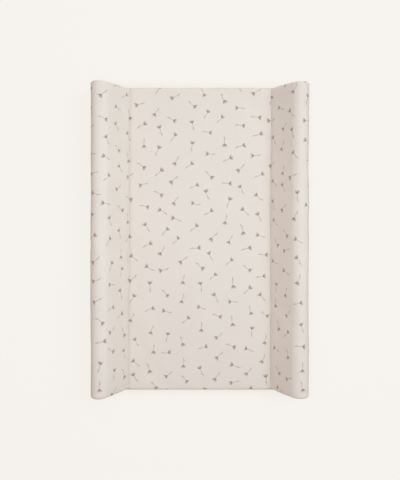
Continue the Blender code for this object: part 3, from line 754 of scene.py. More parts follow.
def sprigs(finish, place):
    """How much ink lies at a place, from 0 to 1."""
    slanted = finish.add("ShaderNodeVectorRotate", {"Vector": place, "Angle": PRINT_SLANT},
                         rotation_type="Z_AXIS")
    u, v, _ = finish.split(finish.spread(slanted, 1 / CELL, 1 / CELL))
    row = finish.sum("FLOOR", v)
    shifted = finish.plus(u, finish.times(finish.sum("PINGPONG", row, 1.0), 0.5))
    column = finish.sum("FLOOR", shifted)
    where = chances(finish, column, row, 0.5)
    how = chances(finish, column, row, 7.5)
    near = []
    for here, cell_number, chance in ((shifted, column, where[0]), (v, row, where[1])):
        in_cell = finish.sum("SUBTRACT", finish.sum("SUBTRACT", here, cell_number), 0.5)
        stray = finish.sum("SUBTRACT", chance, 0.5)
        near.append(finish.sum("MULTIPLY_ADD", stray, -2 * STRAY, finish.times(in_cell, CELL)))
    from_sprig = finish.add("ShaderNodeCombineXYZ", {0: near[0], 1: near[1]})
    turned = finish.add("ShaderNodeVectorRotate",
                        {"Vector": from_sprig, "Angle": finish.times(where[2], 2 * math.pi)},
                        rotation_type="Z_AXIS")
    scaled = finish.add("ShaderNodeVectorMath", {0: turned, 3: finish.step(how[0], 0, 1, *SIZES)},
                        operation="SCALE")
    along, off_line, _ = finish.split(scaled)
    bend = finish.times(finish.sum("SUBTRACT", how[1], 0.5), MOST_BEND)
    across = finish.sum("SUBTRACT", off_line, finish.times(finish.times(along, along), bend))

    off_stem = finish.sum("ABSOLUTE", across)
    on_stem = finish.step(off_stem, STEM_HALF_WIDTH, STEM_HALF_WIDTH + INK_EDGE, 1.0, 0.0)
    on_stem = finish.times(on_stem, finish.step(along, STEM_START, STEM_START + STEM_TIP))
    on_stem = finish.times(on_stem, finish.step(along, STEM_END, STEM_END + STEM_TIP, 1.0, 0.0))
    ink = finish.times(on_stem, STEM_INK)

    for turn, length, half_width in PETALS:
        petal_ink, up_petal = petal(finish, along, across, BLOOM_FOOT, turn, length, half_width, PETAL_BLUNT)
        shade = finish.step(up_petal, 0.15, 0.95, *PETAL_INK)
        ink = finish.sum("MAXIMUM", ink, finish.times(petal_ink, shade))
    leaf, up_leaf = petal(finish, along, across, LEAF_FOOT, LEAF_TURN, LEAF_LENGTH, LEAF_HALF_WIDTH,
                          LEAF_BLUNT)
    ink = finish.sum("MAXIMUM", ink, finish.times(leaf, finish.step(up_leaf, 0.0, 1.0, *LEAF_INK)))
    grain = finish.step(finish.clouds(place, 0.7 * MM, 3.0), 0.25, 0.6, 0.8, 1.0)
    return finish.times(ink, grain)


def printed_cloth():
    finish = Finish("printed cream cloth", sheen=0.08, specular=0.35)
    place = finish.cloth_place()
    threads = weave(finish, place)
    colour = cream_colour(finish, place, threads)
    ink = sprigs(finish, place)
    colour = finish.blend(ink, colour, INK)
    # painted shade: the cloth is darkened along each crease, where a fold lies in shade
    from_middle = finish.sum("ABSOLUTE", finish.split(place)[0])
    from_fold = finish.sum("ABSOLUTE", finish.sum("SUBTRACT", from_middle, CREASE_X))
    painted_fold_shade = finish.step(from_fold, 0.4 * MM, FOLD_REACH, FOLD_SHADE, 0.0)
    colour = finish.blend(painted_fold_shade, colour, FOLD_SHADE_COLOUR)
    rough = finish.step(finish.clouds(place, 25 * MM), 0.3, 0.7, 0.60, 0.72)
    rough = finish.plus(rough, finish.times(ink, 0.06))
    return finish.finish(colour, rough, threads, 0.05 * MM)


PRINTED_CLOTH = printed_cloth()

# %% [markdown]
# ## The printed cover
# The sheet runs in one piece from the left hem over both sides to the right hem. It is drawn down to
# the liner along two creases, and at the ends it is folded under and sewn to the end panels, so the
# folded allowance shows as a faint step one finger inside each end. Beside the creases and the end
# seams the cloth is gathered in shallow folds, a fraction of a millimetre high and not all alike. The
# mesh is cut in three at the creases only so that each part can be baked finely: points and cloth
# coordinates match there, and the print runs on across the cuts.

# %% Cover
CREASE_PULL, CREASE_PULL_WIDTH = 0.7 * MM, 1.3 * MM
FOOT_BULGE, BULGE_UP, BULGE_DOWN = 0.8 * MM, (0.0, 7 * MM), (9 * MM, 34 * MM)
ALLOWANCE, ALLOWANCE_RISE, ALLOWANCE_STEP = 11 * MM, 0.35 * MM, 1.2 * MM
ROLL_FADE = (FLAT_HALF - 6 * MM, FLAT_HALF + 5 * MM)
SEAM_TUCK, END_TUCK_WIDTH, HEM_TUCK_WIDTH = 0.6 * MM, 2.5 * MM, 3 * MM
GATHER_HEIGHT, GATHER_PITCH = 0.18 * MM, 17 * MM
PITCH_DRIFTS = ((0.35, 41 * MM, 0), (0.15, 19 * MM, 2))
HEIGHT_DRIFT, HEIGHT_DRIFT_LENGTH = 0.35, 67 * MM
CREASE_GATHERS, CREASE_GATHERS_WIDTH, CREASE_GATHERS_END = 5 * MM, 4 * MM, 12 * MM
END_GATHERS, END_GATHERS_WIDTH = 12 * MM, 5 * MM
END_UNLIKE, SIDE_UNLIKE = 0.2, 0.3


def gathers(place):
    """A wave along a seam, from -1 to 1, whose small folds are not all alike."""
    turns = place / GATHER_PITCH
    for share, length, start in PITCH_DRIFTS:
        turns = turns + share * np.sin(place / length + start)
    height = 1 - HEIGHT_DRIFT + HEIGHT_DRIFT * np.sin(place / HEIGHT_DRIFT_LENGTH + 1)
    return height * np.sin(2 * math.pi * turns)


def cover_depth(distances, alongs):
    """How far the finished cover stands off the plain section, outwards."""
    distances, alongs = np.asarray(distances)[None, :], np.asarray(alongs)[:, None]
    across, along = np.abs(distances), np.abs(alongs)
    beyond = across - CREASE_X
    to_edge = FLAT_HALF + END_RADIUS * math.pi / 2 - along

    folded_under = 1 - rise(to_edge, ALLOWANCE - ALLOWANCE_STEP, ALLOWANCE + ALLOWANCE_STEP)
    full = swell(distances[0], alongs[:, 0]) + ALLOWANCE_RISE * folded_under
    full = full * (1 - rise(along, *ROLL_FADE))
    full = full + FOOT_BULGE * rise(beyond, *BULGE_UP) * (1 - rise(beyond, *BULGE_DOWN))

    beside_crease = bell(np.abs(beyond) - CREASE_GATHERS, CREASE_GATHERS_WIDTH)
    beside_crease = beside_crease * (1 - rise(along, FLAT_HALF - CREASE_GATHERS_END, FLAT_HALF))
    near_end = bell(to_edge - END_GATHERS, END_GATHERS_WIDTH)
    unlike = END_UNLIKE * np.sign(alongs) + SIDE_UNLIKE * np.sign(distances)
    folds = beside_crease * gathers(alongs + unlike) + near_end * gathers(distances + unlike)

    at_end_seam = rise(along, END_SEAM - END_TUCK_WIDTH, END_SEAM)
    at_hem = rise(across, HEM_MARK - HEM_TUCK_WIDTH, HEM_MARK)
    pulled = CREASE_PULL * bell(beyond, CREASE_PULL_WIDTH) + SEAM_TUCK * (at_end_seam + at_hem)
    return full + GATHER_HEIGHT * folds - pulled


def half_columns():
    """Distances across from the middle to the hem, close together where the cloth curves."""
    return spaced(0.0, (CREASE_X - 12 * MM, 4 * MM), (CREASE_X - 4 * MM, 1.3 * MM), (CREASE_X, 0.6 * MM),
                  (FOOT_MARK, 0.6 * MM), (FOOT_MARK + 6 * MM, 1.2 * MM), (SLOPE_MARK, 4 * MM),
                  (ROUND_MARK, 2.0 * MM), (WALL_MARK, 2.0 * MM), (HEM_MARK - 4 * MM, 5.5 * MM),
                  (HEM_MARK, 0.8 * MM))


def half_rows():
    step_at = END_SEAM - ALLOWANCE
    return spaced(0.0, (step_at - 2 * MM, 4 * MM), (step_at + 2.5 * MM, 0.6 * MM),
                  (END_SEAM - 2.5 * MM, 1.1 * MM), (END_SEAM, 0.5 * MM))


cover_along = mirrored(half_rows())
columns = half_columns()
centre_columns = mirrored([place for place in columns if place <= CREASE_X + 1e-9])
right_columns = [place for place in columns if place >= CREASE_X - 1e-9]
left_columns = [-place for place in reversed(right_columns)]

for name, across in (("left_side_cover", left_columns), ("centre_cover", centre_columns),
                     ("right_side_cover", right_columns)):
    points, normals = surface(across, cover_along)
    points = points + normals * cover_depth(across, cover_along)[..., None]
    mesh = grid_sheet(name, points, normals, CLOTH, across, cover_along)
    cover = keep(name, mesh, "mat", PRINTED_CLOTH)
    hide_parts("top_cover")
    print(name, len(mesh.polygons), "faces")

# %% [markdown]
# ## Stitches
# A seam reads as sewn only when the thread is there: short, round, and dipping into the cloth at both
# ends. One stitch is a thin tube along a bowed line. Copies of it follow a path on the surface and
# are joined into one mesh. As small as they are, they catch light and shade, which a painted dashed
# line doesn't.


# %% Tubes and stitches
def ring_faces(rings, count, first_end=True):
    """Faces between rings that follow each other. The last end is closed, and the first one if wanted."""
    faces = [(ring * count + step, ring * count + (step + 1) % count,
              (ring + 1) * count + (step + 1) % count, (ring + 1) * count + step)
             for ring in range(rings - 1) for step in range(count)]
    if first_end:
        faces.append(tuple(reversed(range(count))))
    return faces + [tuple((rings - 1) * count + step for step in range(count))]


def lofted(rings):
    """Points and faces through rings that have the same number of points, with closed ends."""
    return np.vstack(rings), ring_faces(len(rings), len(rings[0]))


def tube(path, radius, sides):
    """Points and faces of a round tube along a path, its ends closed."""
    path = np.asarray(path, float)
    radii = np.broadcast_to(np.asarray(radius, float), (len(path),))
    tangents = np.gradient(path, axis=0)
    tangents /= np.linalg.norm(tangents, axis=1)[:, None]
    helper = np.array([0.0, 0.0, 1.0]) if abs(tangents[0][2]) < 0.9 else np.array([0.0, 1.0, 0.0])
    ring_axis = np.cross(tangents[0], helper)
    rings = []
    for place, tangent, size in zip(path, tangents, radii):
        ring_axis = ring_axis - tangent * ring_axis.dot(tangent)
        ring_axis /= np.linalg.norm(ring_axis)
        other = np.cross(tangent, ring_axis)
        turns = np.arange(sides) * 2 * math.pi / sides
        rings.append(place + size * (np.cos(turns)[:, None] * ring_axis + np.sin(turns)[:, None] * other))
    return lofted(rings)


def joined(name, parts):
    """One mesh from several sets of points and faces."""
    points, faces, start = [], [], 0
    for part_points, part_faces in parts:
        points.append(part_points)
        faces += [tuple(corner + start for corner in face) for face in part_faces]
        start += len(part_points)
    mesh = bpy.data.meshes.new(name)
    mesh.from_pydata(np.vstack(points).tolist(), [], faces)
    mesh.validate()
    return mesh


def stitch_run(start, end, out, pitch, length, thread):
    """Stitches on a straight line from start to end, standing on the side that out points to."""
    start, end, out = (np.asarray(value, float) for value in (start, end, out))
    distance = np.linalg.norm(end - start)
    ahead = (end - start) / distance
    count = int(distance // pitch)
    first = start + ahead * (distance - count * pitch) / 2
    shares = np.array([-0.5, -0.42, -0.2, 0.2, 0.42, 0.5])
    heights = np.array([-1.4, 0.0, 0.75, 0.75, 0.0, -1.4]) * thread
    parts = []
    for number in range(count):
        middle = first + ahead * pitch * (number + 0.5)
        path = middle + shares[:, None] * length * ahead + heights[:, None] * out
        parts.append(tube(path, thread, 6))
    return parts


def sewing_thread():
    finish = Finish("sewing thread", sheen=0.1, specular=0.4)
    place = finish.solid_place()
    strands = finish.add("ShaderNodeTexWave", {"Vector": place, "Scale": 1400.0, "Distortion": 1.0},
                         "Fac", bands_direction="DIAGONAL")
    colour = finish.uneven(paint(222, 211, 201), place, 2 * MM, 0.05)
    return finish.finish(colour, 0.6, strands, 0.04 * MM)


SEWING_THREAD = sewing_thread()

# %% [markdown]
# ## The creases
# Each crease is a line of stitches that holds the printed sheet to a tie underneath. It is why the
# cloth dips there. The stitches lie at the bottom of the dip and stop where the cloth turns over the
# ends.

# %% Crease stitches
CREASE_PITCH, CREASE_STITCH, CREASE_THREAD = 3.4 * MM, 2.7 * MM, 0.22 * MM
CREASE_HALF_RUN = FLAT_HALF - 4 * MM

for name, side in (("left_crease_stitches", -1), ("right_crease_stitches", 1)):
    start, end = ((side * CREASE_X, y, CREASE_Z - CREASE_PULL) for y in (-CREASE_HALF_RUN, CREASE_HALF_RUN))
    parts = stitch_run(start, end, (0, 0, 1), CREASE_PITCH, CREASE_STITCH, CREASE_THREAD)
    parts = [(as_sewn(points), faces) for points, faces in parts]
    keep(name, joined(name, parts), "mat", SEWING_THREAD)
    print(name, len(parts), "stitches")

# %% [markdown]
# ## The end panels
# A flat panel of plain cloth closes each end. It is sewn in from the inside, so no stitches show, only
# a fine groove all round where the panel and the printed sheet meet. The outline is cut from the same
# section, a seam's width inside it. The panel is filled with small triangles, which follow any
# outline, and then swells a little in the same cloth simulation. The panel at the foot has the slot
# for the zip, with its edges turned in.


# %% Filling an outline
def inside(outline, x, z):
    """Whether a point lies inside a closed outline."""
    hit = False
    for (x1, z1), (x2, z2) in zip(outline, outline[1:] + outline[:1]):
        if (z1 > z) != (z2 > z) and x < (x2 - x1) * (z - z1) / (z2 - z1) + x1:
            hit = not hit
    return hit


def along_outline(corners, spacing):
    """A closed outline with extra points, so that no step is longer than the spacing."""
    places = []
    for (x1, z1), (x2, z2) in zip(corners, corners[1:] + corners[:1]):
        count = max(1, math.ceil(math.hypot(x2 - x1, z2 - z1) / spacing))
        places += [(x1 + (x2 - x1) * step / count, z1 + (z2 - z1) * step / count) for step in range(count)]
    return places


def distance_to(outlines, places):
    """How far each place is from the nearest point of the outlines."""
    border = np.array([point for outline in outlines for point in along_outline(outline, 1.0 * MM)])
    return np.array([np.hypot(*(border - place).T).min() for place in places])


def filled(outline, holes, spacing):
    """Points and triangles that fill an outline but not its holes."""
    outlines = [along_outline(outline, spacing)] + [along_outline(hole, spacing) for hole in holes]
    points, edges = [], []
    for ring in outlines:
        first = len(points)
        points += ring
        edges += [(first + step, first + (step + 1) % len(ring)) for step in range(len(ring))]
    low, high = np.min(outline, axis=0), np.max(outline, axis=0)
    candidates = []
    for row, z in enumerate(np.arange(low[1], high[1], spacing * 0.87)):
        for x in np.arange(low[0] + (row % 2) * spacing / 2, high[0], spacing):
            if inside(outline, x, z) and not any(inside(hole, x, z) for hole in holes):
                candidates.append((x, z))
    clear = distance_to([outline] + holes, candidates) > spacing * 0.55
    points += [place for place, far in zip(candidates, clear) if far]
    places, _, faces, *_ = geometry.delaunay_2d_cdt([Vector(point) for point in points], edges, [], 1, 1e-7)
    places = np.array([tuple(place) for place in places])
    kept = []
    for face in faces:
        middle = places[list(face)].mean(axis=0)
        if inside(outline, *middle) and not any(inside(hole, *middle) for hole in holes):
            kept.append(tuple(face))
    return places, kept


def panel_outline():
    """The end panel's edge: the section moved inwards by the seam, closed along the foot."""
    distances = mirrored(spaced(0.0, (CREASE_X - CREASE_SHOULDER, 5 * MM), (FOOT_MARK, 1.5 * MM),
                                (SLOPE_MARK, 4 * MM), (WALL_MARK, 2 * MM), (HEM_MARK, 5 * MM)))
    x, z, across, up = across_section(distances).T
    edge = list(zip(x - PANEL_INSET * across, z - PANEL_INSET * up))
    edge[0], edge[-1] = (edge[0][0], COVER_FOOT), (edge[-1][0], COVER_FOOT)
    return [(float(a), float(b)) for a, b in edge]


# %% Zip sizes
ZIP_LENGTH = 420 * MM
ZIP_Z = 10.3 * MM
SLOT_HALF_LENGTH, SLOT_HALF_HEIGHT = 213.1 * MM, 3.4 * MM
SLOT = [(-SLOT_HALF_LENGTH, ZIP_Z - SLOT_HALF_HEIGHT), (SLOT_HALF_LENGTH, ZIP_Z - SLOT_HALF_HEIGHT),
        (SLOT_HALF_LENGTH, ZIP_Z + SLOT_HALF_HEIGHT), (-SLOT_HALF_LENGTH, ZIP_Z + SLOT_HALF_HEIGHT)]

# %% Panels
PANEL_PRESS, PANEL_GROWTH = 0.6, 0.006
PANEL_CAP, PANEL_SINK_CAP = 1.1 * MM, 0.2 * MM
SEAM_GROOVE_WIDTH, SLOT_GROOVE, SLOT_GROOVE_WIDTH = 1.6 * MM, 0.25 * MM, 0.8 * MM
PANEL_SPACING, HELD_WITHIN = 4.2 * MM, 0.3 * MM


def end_cloth(name, side, holes):
    """One end panel, at the head for side 1 and at the foot for side -1."""
    outline = panel_outline()
    places, faces = filled(outline, holes, PANEL_SPACING)
    points = as_sewn(np.column_stack([places[:, 0], np.full(len(places), side * END_Y), places[:, 1]]))
    out = np.array([0.0, side, 0.0])
    corner = points[list(faces[0])]
    if np.cross(corner[1] - corner[0], corner[2] - corner[0])[1] * side < 0:
        faces = [tuple(reversed(face)) for face in faces]
    to_seam = distance_to([outline], places)
    to_slot = distance_to(holes, places) if holes else np.full(len(places), 1.0)
    held = np.flatnonzero((to_seam < HELD_WITHIN) | (to_slot < HELD_WITHIN))
    moved = settle(name + " settling", points, faces, held, PANEL_PRESS, PANEL_GROWTH)
    swelling = np.clip((moved[:, 1] - points[:, 1]) * side, -PANEL_SINK_CAP, PANEL_CAP)
    print(name, "settled by up to", round(swelling.max() / MM, 2), "mm")
    standing = swelling - SEAM_TUCK * bell(to_seam, SEAM_GROOVE_WIDTH)
    standing = standing - SLOT_GROOVE * bell(to_slot, SLOT_GROOVE_WIDTH)
    points = points + standing[:, None] * out
    mesh = sheet_mesh(name, points, np.broadcast_to(out, points.shape), faces, CLOTH, places)
    return keep(name, mesh, "mat", PLAIN_CLOTH)


def flat_area(outline):
    """The area inside a closed outline."""
    x, z = np.array(outline).T
    return abs(float(np.dot(x, np.roll(z, -1)) - np.dot(z, np.roll(x, -1)))) / 2


for name, node, side, holes in (("head_end_cloth", "head_end_panel", 1, []),
                                ("foot_end_cloth", "foot_end_panel", -1, [SLOT])):
    panel = end_cloth(name, side, holes)
    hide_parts(node)
    flat_area(panel_outline())


# %% [markdown]
# ## The underside, the liner and the ties
# Nobody sees these while the mat is in use, but they hold it together. The underside is one flat sheet.
# A liner lies over the board, and two upright ties run from it to the creases. Flat sheets with round
# corners are made of rings: a rounded rectangle, and smaller ones inside it.


# %% Flat sheets
RING_INSETS = np.array([0.0, 0.4, 0.9, 1.6, 3, 6, 14, 35, 70, 120, 170, 215]) * MM
SMALLEST_CORNER = 0.5 * MM
HEM_LIFT, HEM_LIFT_WIDTH = 0.35 * MM, 0.8 * MM


def round_ring(half_x, half_y, radius, per_corner=5, per_side=14):
    """Points round a rectangle with round corners, the same number for any size."""
    def corner_point(quarter, share):
        turn = math.pi / 2 * (quarter + share)
        side_x, side_y = ((1, 1), (-1, 1), (-1, -1), (1, -1))[quarter % 4]
        return np.array([side_x * (half_x - radius) + radius * math.cos(turn),
                         side_y * (half_y - radius) + radius * math.sin(turn)])

    ring = []
    for quarter in range(4):
        ring += [corner_point(quarter, step / per_corner) for step in range(per_corner + 1)]
        start, end = ring[-1], corner_point(quarter + 1, 0)
        ring += [start + (end - start) * step / per_side for step in range(1, per_side)]
    return ring


def flat_sheet(name, half_x, half_y, radius, z, face_up, thickness, lift):
    """A flat sheet made of rings. lift gives the height change at a distance from the edge."""
    points = []
    for inset in RING_INSETS:
        ring = round_ring(half_x - inset, half_y - inset, max(radius - inset, SMALLEST_CORNER))
        points += [(x, y, z + lift(inset)) for x, y in ring]
    faces = ring_faces(len(RING_INSETS), len(ring), first_end=False)
    if not face_up:
        faces = [tuple(reversed(face)) for face in faces]
    points = np.array(points)
    normals = np.broadcast_to([0.0, 0.0, 1.0 if face_up else -1.0], points.shape)
    return sheet_mesh(name, points, normals, faces, thickness, points[:, :2].copy())


underside = keep("underside_cloth",
                 flat_sheet("underside_cloth", OUTER_X, END_Y, END_RADIUS, 0.0, False, CLOTH,
                            lambda inset: HEM_LIFT * float(bell(inset, HEM_LIFT_WIDTH))),
                 "mat", PLAIN_CLOTH)
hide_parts("bottom_cover")


# %% [markdown]
# The liner and the ties are thin uncoated cloth, looser in the weave than the cover. The ties are
# strips on edge. A slight wave along them shows that they are cloth and not card.

# %% Liner and ties
def lining_cloth():
    finish = Finish("lining cloth", sheen=0.15, specular=0.2)
    place = finish.cloth_place()
    threads = weave(finish, finish.spread(place, 0.6, 0.6))
    colour = finish.uneven(paint(229, 225, 217), place, 40 * MM, 0.02)
    # painted shade: the hollows between the threads, low in the bump, are darker
    colour = finish.blend(finish.step(threads, 0.05, 0.8, 0.22, 0.0), colour, paint(190, 183, 172))
    return finish.finish(colour, 0.85, threads, 0.12 * MM)


LINING_CLOTH = lining_cloth()
TIE_TOP = CREASE_Z - FILL_INSET - 1.2 * MM
TIE_WAVE, TIE_WAVE_LENGTH = 0.12 * MM, 11 * MM

liner = keep("liner_cloth",
             flat_sheet("liner_cloth", OUTER_X - FILL_INSET, END_Y - FILL_INSET, END_RADIUS - FILL_INSET,
                        FOAM_BOTTOM - GAP, True, LINER, lambda inset: 0.0),
             "mat", LINING_CLOTH)
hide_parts("inner_liner")

for name, node, side in (("left_tie_cloth", "left_crease_tie", -1),
                         ("right_tie_cloth", "right_crease_tie", 1)):
    tie_along = np.linspace(-FLAT_HALF, FLAT_HALF, 120)
    tie_heights = np.linspace(FOAM_BOTTOM, TIE_TOP, 6)
    y, z = np.meshgrid(tie_along, tie_heights, indexing="ij")
    up_tie = (z - FOAM_BOTTOM) / (TIE_TOP - FOAM_BOTTOM)
    wave = TIE_WAVE * np.sin(y / TIE_WAVE_LENGTH) * np.sin(math.pi * up_tie)
    points = as_sewn(np.stack([side * CREASE_X + LINER / 2 + wave, y, z], axis=-1))
    normals = np.broadcast_to([1.0, 0.0, 0.0], points.shape)
    mesh = grid_sheet(name, points, normals, LINER, tie_heights, tie_along)
    tie = keep(name, mesh, "mat", LINING_CLOTH)
    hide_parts(node)
print("liner, underside and ties made")

# %% [markdown]
# ## The foam
# Three blocks of open-cell foam fill the cover: a slab under the pad and a wedge in each side. They
# are cut to the cover's inner shape, their edges slightly broken where the ties pass between them.
# Foam shows its cells as fine pits of several sizes, so its bump mixes two cell patterns.


# %% Foam blocks
def soft_foam():
    finish = Finish("cream foam", specular=0.15)
    place = finish.solid_place()
    small = finish.add("ShaderNodeTexVoronoi", {"Vector": place, "Scale": 1 / (1.1 * MM)})
    large = finish.add("ShaderNodeTexVoronoi", {"Vector": place, "Scale": 1 / (3.2 * MM)})
    pits = finish.sum("MINIMUM", finish.times(small, 1.6), finish.times(large, 1.2))
    # painted shade: the foam is darker at the bottom of each pit, where the cells lie in shade
    colour = finish.blend(finish.step(pits, 0.0, 0.5, 0.5, 0.0), paint(240, 232, 208), paint(206, 190, 152))
    colour = finish.uneven(colour, place, 60 * MM, 0.03)
    return finish.finish(colour, 0.95, pits, 0.5 * MM)


FOAM = soft_foam()
TIE_ROOM = LINER / 2 + GAP
END_CUT = 3.1 * MM                # the foam stops short of the end cloths and of the zip's slider
TIE_BREAK, TIE_BREAK_WIDTH = 1.6 * MM, 2.6 * MM
BROKEN_EDGE, THINNEST = 0.6 * MM, 2 * MM


def foam_rows():
    """Distances along the foam between its two cut ends."""
    turn = math.asin((END_RADIUS - END_CUT) / (END_RADIUS - FILL_INSET))
    head = [FLAT_HALF + END_RADIUS * turn * step / 4 for step in (1, 2, 3, 4)]
    return [-place for place in reversed(head)] + spaced(-FLAT_HALF, (FLAT_HALF, 14 * MM)) + head


def foam_block(name, node, distances):
    """A closed block under a stretch of the cover, cut flat along its bottom."""
    rows = foam_rows()
    points, normals = surface(distances, rows, FILL_INSET)
    from_tie = np.abs(np.abs(np.asarray(distances)) - CREASE_X)
    points[..., 2] -= (TIE_BREAK * bell(from_tie, TIE_BREAK_WIDTH))[None, :]
    points[..., 2] = np.maximum(points[..., 2], FOAM_BOTTOM + THINNEST)
    rings = []
    for row in points:
        (first, first_y, _), (last, last_y, _) = row[0], row[-1]
        after_first = first + math.copysign(BROKEN_EDGE, row[1][0] - first)
        before_last = last + math.copysign(BROKEN_EDGE, row[-2][0] - last)
        rings.append(np.vstack([
            row, (last, last_y, FOAM_BOTTOM + BROKEN_EDGE), (before_last, last_y, FOAM_BOTTOM),
            (after_first, first_y, FOAM_BOTTOM), (first, first_y, FOAM_BOTTOM + BROKEN_EDGE)]))
    mesh = joined(name, [lofted(rings)])
    thing = keep(name, mesh, "mat", FOAM)
    mesh.set_sharp_from_angle(angle=math.radians(50))
    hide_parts(node)
    print(name, len(mesh.polygons), "faces")


foam_half = spaced(0.0, (CREASE_X - 10 * MM, 12 * MM), (CREASE_X - TIE_ROOM, 1.2 * MM))
foam_side = spaced(CREASE_X + TIE_ROOM, (FOOT_MARK, 1.2 * MM), (SLOPE_MARK, 8 * MM), (WALL_MARK, 2.5 * MM),
                   (MAT_HEIGHT - OUTER_RADIUS - FOAM_BOTTOM + WALL_MARK - 2 * MM, 12 * MM))
foam_block("centre_padding", "centre_foam", mirrored(foam_half))
foam_block("right_side_padding", "right_wedge_foam", foam_side)
foam_block("left_side_padding", "left_wedge_foam", [-place for place in reversed(foam_side)])

# %% [markdown]
# ## The board
# A sheet of hardboard makes the mat stiff enough to lie across a cot or a dresser. Its solid already
# has the right shape, so it only gets a finish: pressed brown fibre, with short darker fibres lying
# every way and a faint grid left by the press screen.


# %% Hardboard
SCREEN_PITCH = 1.8 * MM


def hardboard():
    finish = Finish("hardboard", specular=0.3)
    place = finish.solid_place()
    fibres = finish.clouds(finish.spread(place, 1.0, 0.25), 1.6 * MM, 5.0, 0.65)
    colour = finish.blend(finish.step(fibres, 0.35, 0.65), paint(122, 86, 56), paint(158, 118, 82))
    colour = finish.uneven(colour, place, 70 * MM, 0.06)
    turns = 2 * math.pi / SCREEN_PITCH
    across, along, _ = finish.split(finish.spread(place, turns, turns))
    screen = finish.times(finish.sum("SINE", across), finish.sum("SINE", along))
    height = finish.plus(finish.times(screen, 0.3), fibres)
    return finish.finish(colour, 0.72, height, 0.15 * MM)


board_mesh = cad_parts["base_board"].data
board_mesh.materials.clear()
board_mesh.materials.append(hardboard())

# %% [markdown]
# ## The zip
# The zip lets the foam and the board out when the cover is washed. Its parts are two woven tapes
# behind the slot, two coils of nylon whose loops are the teeth, a metal stop at each end, a slider and
# its pull. The tapes are strips with a raised rib near the coil. Each coil is a real helix, because
# loops are what the eye looks for on such a zip, and a stay thread lies along it and holds it down.

# %% Tapes
FACE_Y = -END_Y
TAPE_FRONT = CLOTH + GAP
SLIT_HALF, TAPE_THICKNESS = 0.6 * MM, 0.5 * MM
RIB_HEIGHT, RIB_PLACE, RIB_WIDTH = 0.18 * MM, 0.4 * MM, 0.35 * MM
TWILL_LENGTH, TWILL_WIDTH = 0.7 * MM, 0.8 * MM
TAPE_HALF_LENGTH = SLOT_HALF_LENGTH + 4 * MM


def zip_tape():
    finish = Finish("zip tape", sheen=0.2, specular=0.2)
    place = finish.cloth_place()
    along, across, _ = finish.split(place)
    there_and_back = finish.sum("PINGPONG", finish.times(across, 1 / TWILL_WIDTH), 1.0)
    zigzag = finish.plus(finish.times(along, 1 / TWILL_LENGTH), there_and_back)
    twill = finish.step(finish.sum("PINGPONG", zigzag, 0.5), 0.1, 0.4)
    # painted shade and highlight: the twill's grooves, low in the bump, are darker and its ridges lighter
    colour = finish.blend(twill, paint(206, 195, 184), paint(226, 217, 208))
    return finish.finish(finish.uneven(colour, place, 20 * MM, 0.02), 0.85, twill, 0.1 * MM)


ZIP_TAPE = zip_tape()
tape_along = np.linspace(-TAPE_HALF_LENGTH, TAPE_HALF_LENGTH, 280)
tape_across = np.array([0.0, 0.25, 0.6, 1.0, 1.5, 2.1, 2.9, 3.7, 4.5]) * MM
for name, side in (("upper_zip_tape", 1), ("lower_zip_tape", -1)):
    rib = RIB_HEIGHT * bell(tape_across - RIB_PLACE, RIB_WIDTH)
    points = np.array([[(x, FACE_Y + TAPE_FRONT - stand, ZIP_Z + side * (SLIT_HALF + z))
                        for z, stand in zip(tape_across, rib)] for x in tape_along])
    normals = np.broadcast_to([0.0, -1.0, 0.0], points.shape)
    if side > 0:
        points = points[::-1]
    mesh = grid_sheet(name, points, normals, TAPE_THICKNESS, tape_across, tape_along)
    tape = keep(name, mesh, "mat", ZIP_TAPE)
    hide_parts(f"zip_{name.split('_')[0]}_tape")
print("tapes", round(2 * TAPE_HALF_LENGTH / MM), "mm long")

# %% Coils
COIL_PITCH, COIL_WIRE = 1.25 * MM, 0.25 * MM
COIL_MIDDLE, COIL_REACH_Z, COIL_REACH_Y = 1.22 * MM, 0.58 * MM, 0.5 * MM
STAY_FRONT, STAY_HEIGHT, STAY_SWAY, STAY_THREAD = 0.74 * MM, 1.62 * MM, 0.06 * MM, 0.1 * MM


def nylon():
    finish = Finish("nylon coil", specular=0.5)
    place = finish.solid_place()
    colour = finish.uneven(paint(226, 219, 211), place, 6 * MM, 0.03)
    rough = finish.step(finish.clouds(place, 1.5 * MM), 0.3, 0.7, 0.32, 0.45)
    return finish.finish(colour, rough, finish.clouds(place, 0.3 * MM), 0.02 * MM)


NYLON = nylon()
for name, side in (("upper_zip_coil_loops", 1), ("lower_zip_coil_loops", -1)):
    turns = ZIP_LENGTH / COIL_PITCH
    phase = np.linspace(0, 2 * math.pi * turns, int(turns * 10))
    if side < 0:
        phase = phase + math.pi
    x = np.linspace(-ZIP_LENGTH / 2 + COIL_WIRE, ZIP_LENGTH / 2 - COIL_WIRE, len(phase))
    loops = np.column_stack([x, FACE_Y - COIL_REACH_Y * np.sin(phase),
                             ZIP_Z + side * (COIL_MIDDLE - COIL_REACH_Z * np.cos(phase))])
    stay_x = np.linspace(x[0], x[-1], int(turns * 4))
    sway = STAY_SWAY * np.sin(stay_x / COIL_PITCH * 2 * math.pi)
    stay = np.column_stack([stay_x, FACE_Y - STAY_FRONT + sway,
                            np.full(len(stay_x), ZIP_Z + side * STAY_HEIGHT)])
    mesh = joined(name, [tube(loops, COIL_WIRE, 6), tube(stay, STAY_THREAD, 5)])
    coil = keep(name, mesh, "mat", NYLON)
    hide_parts(f"zip_{name.split('_')[0]}_coil")
    print(name, round(turns), "loops,", len(mesh.polygons), "faces")

# %% [markdown]
# ## Stops, slider and pull
# These are small die-cast pieces, plated with nickel. Casting leaves no sharp edge, so each is built
# from rings or from an outline with a rounded edge. The slider is a channel that is wider at its mouth,
# a back plate and a post between them, with a wire bridge for the pull. It rides on its own body,
# and the pull on another, so both can move. Three short ridges on the pull give fingers a hold.


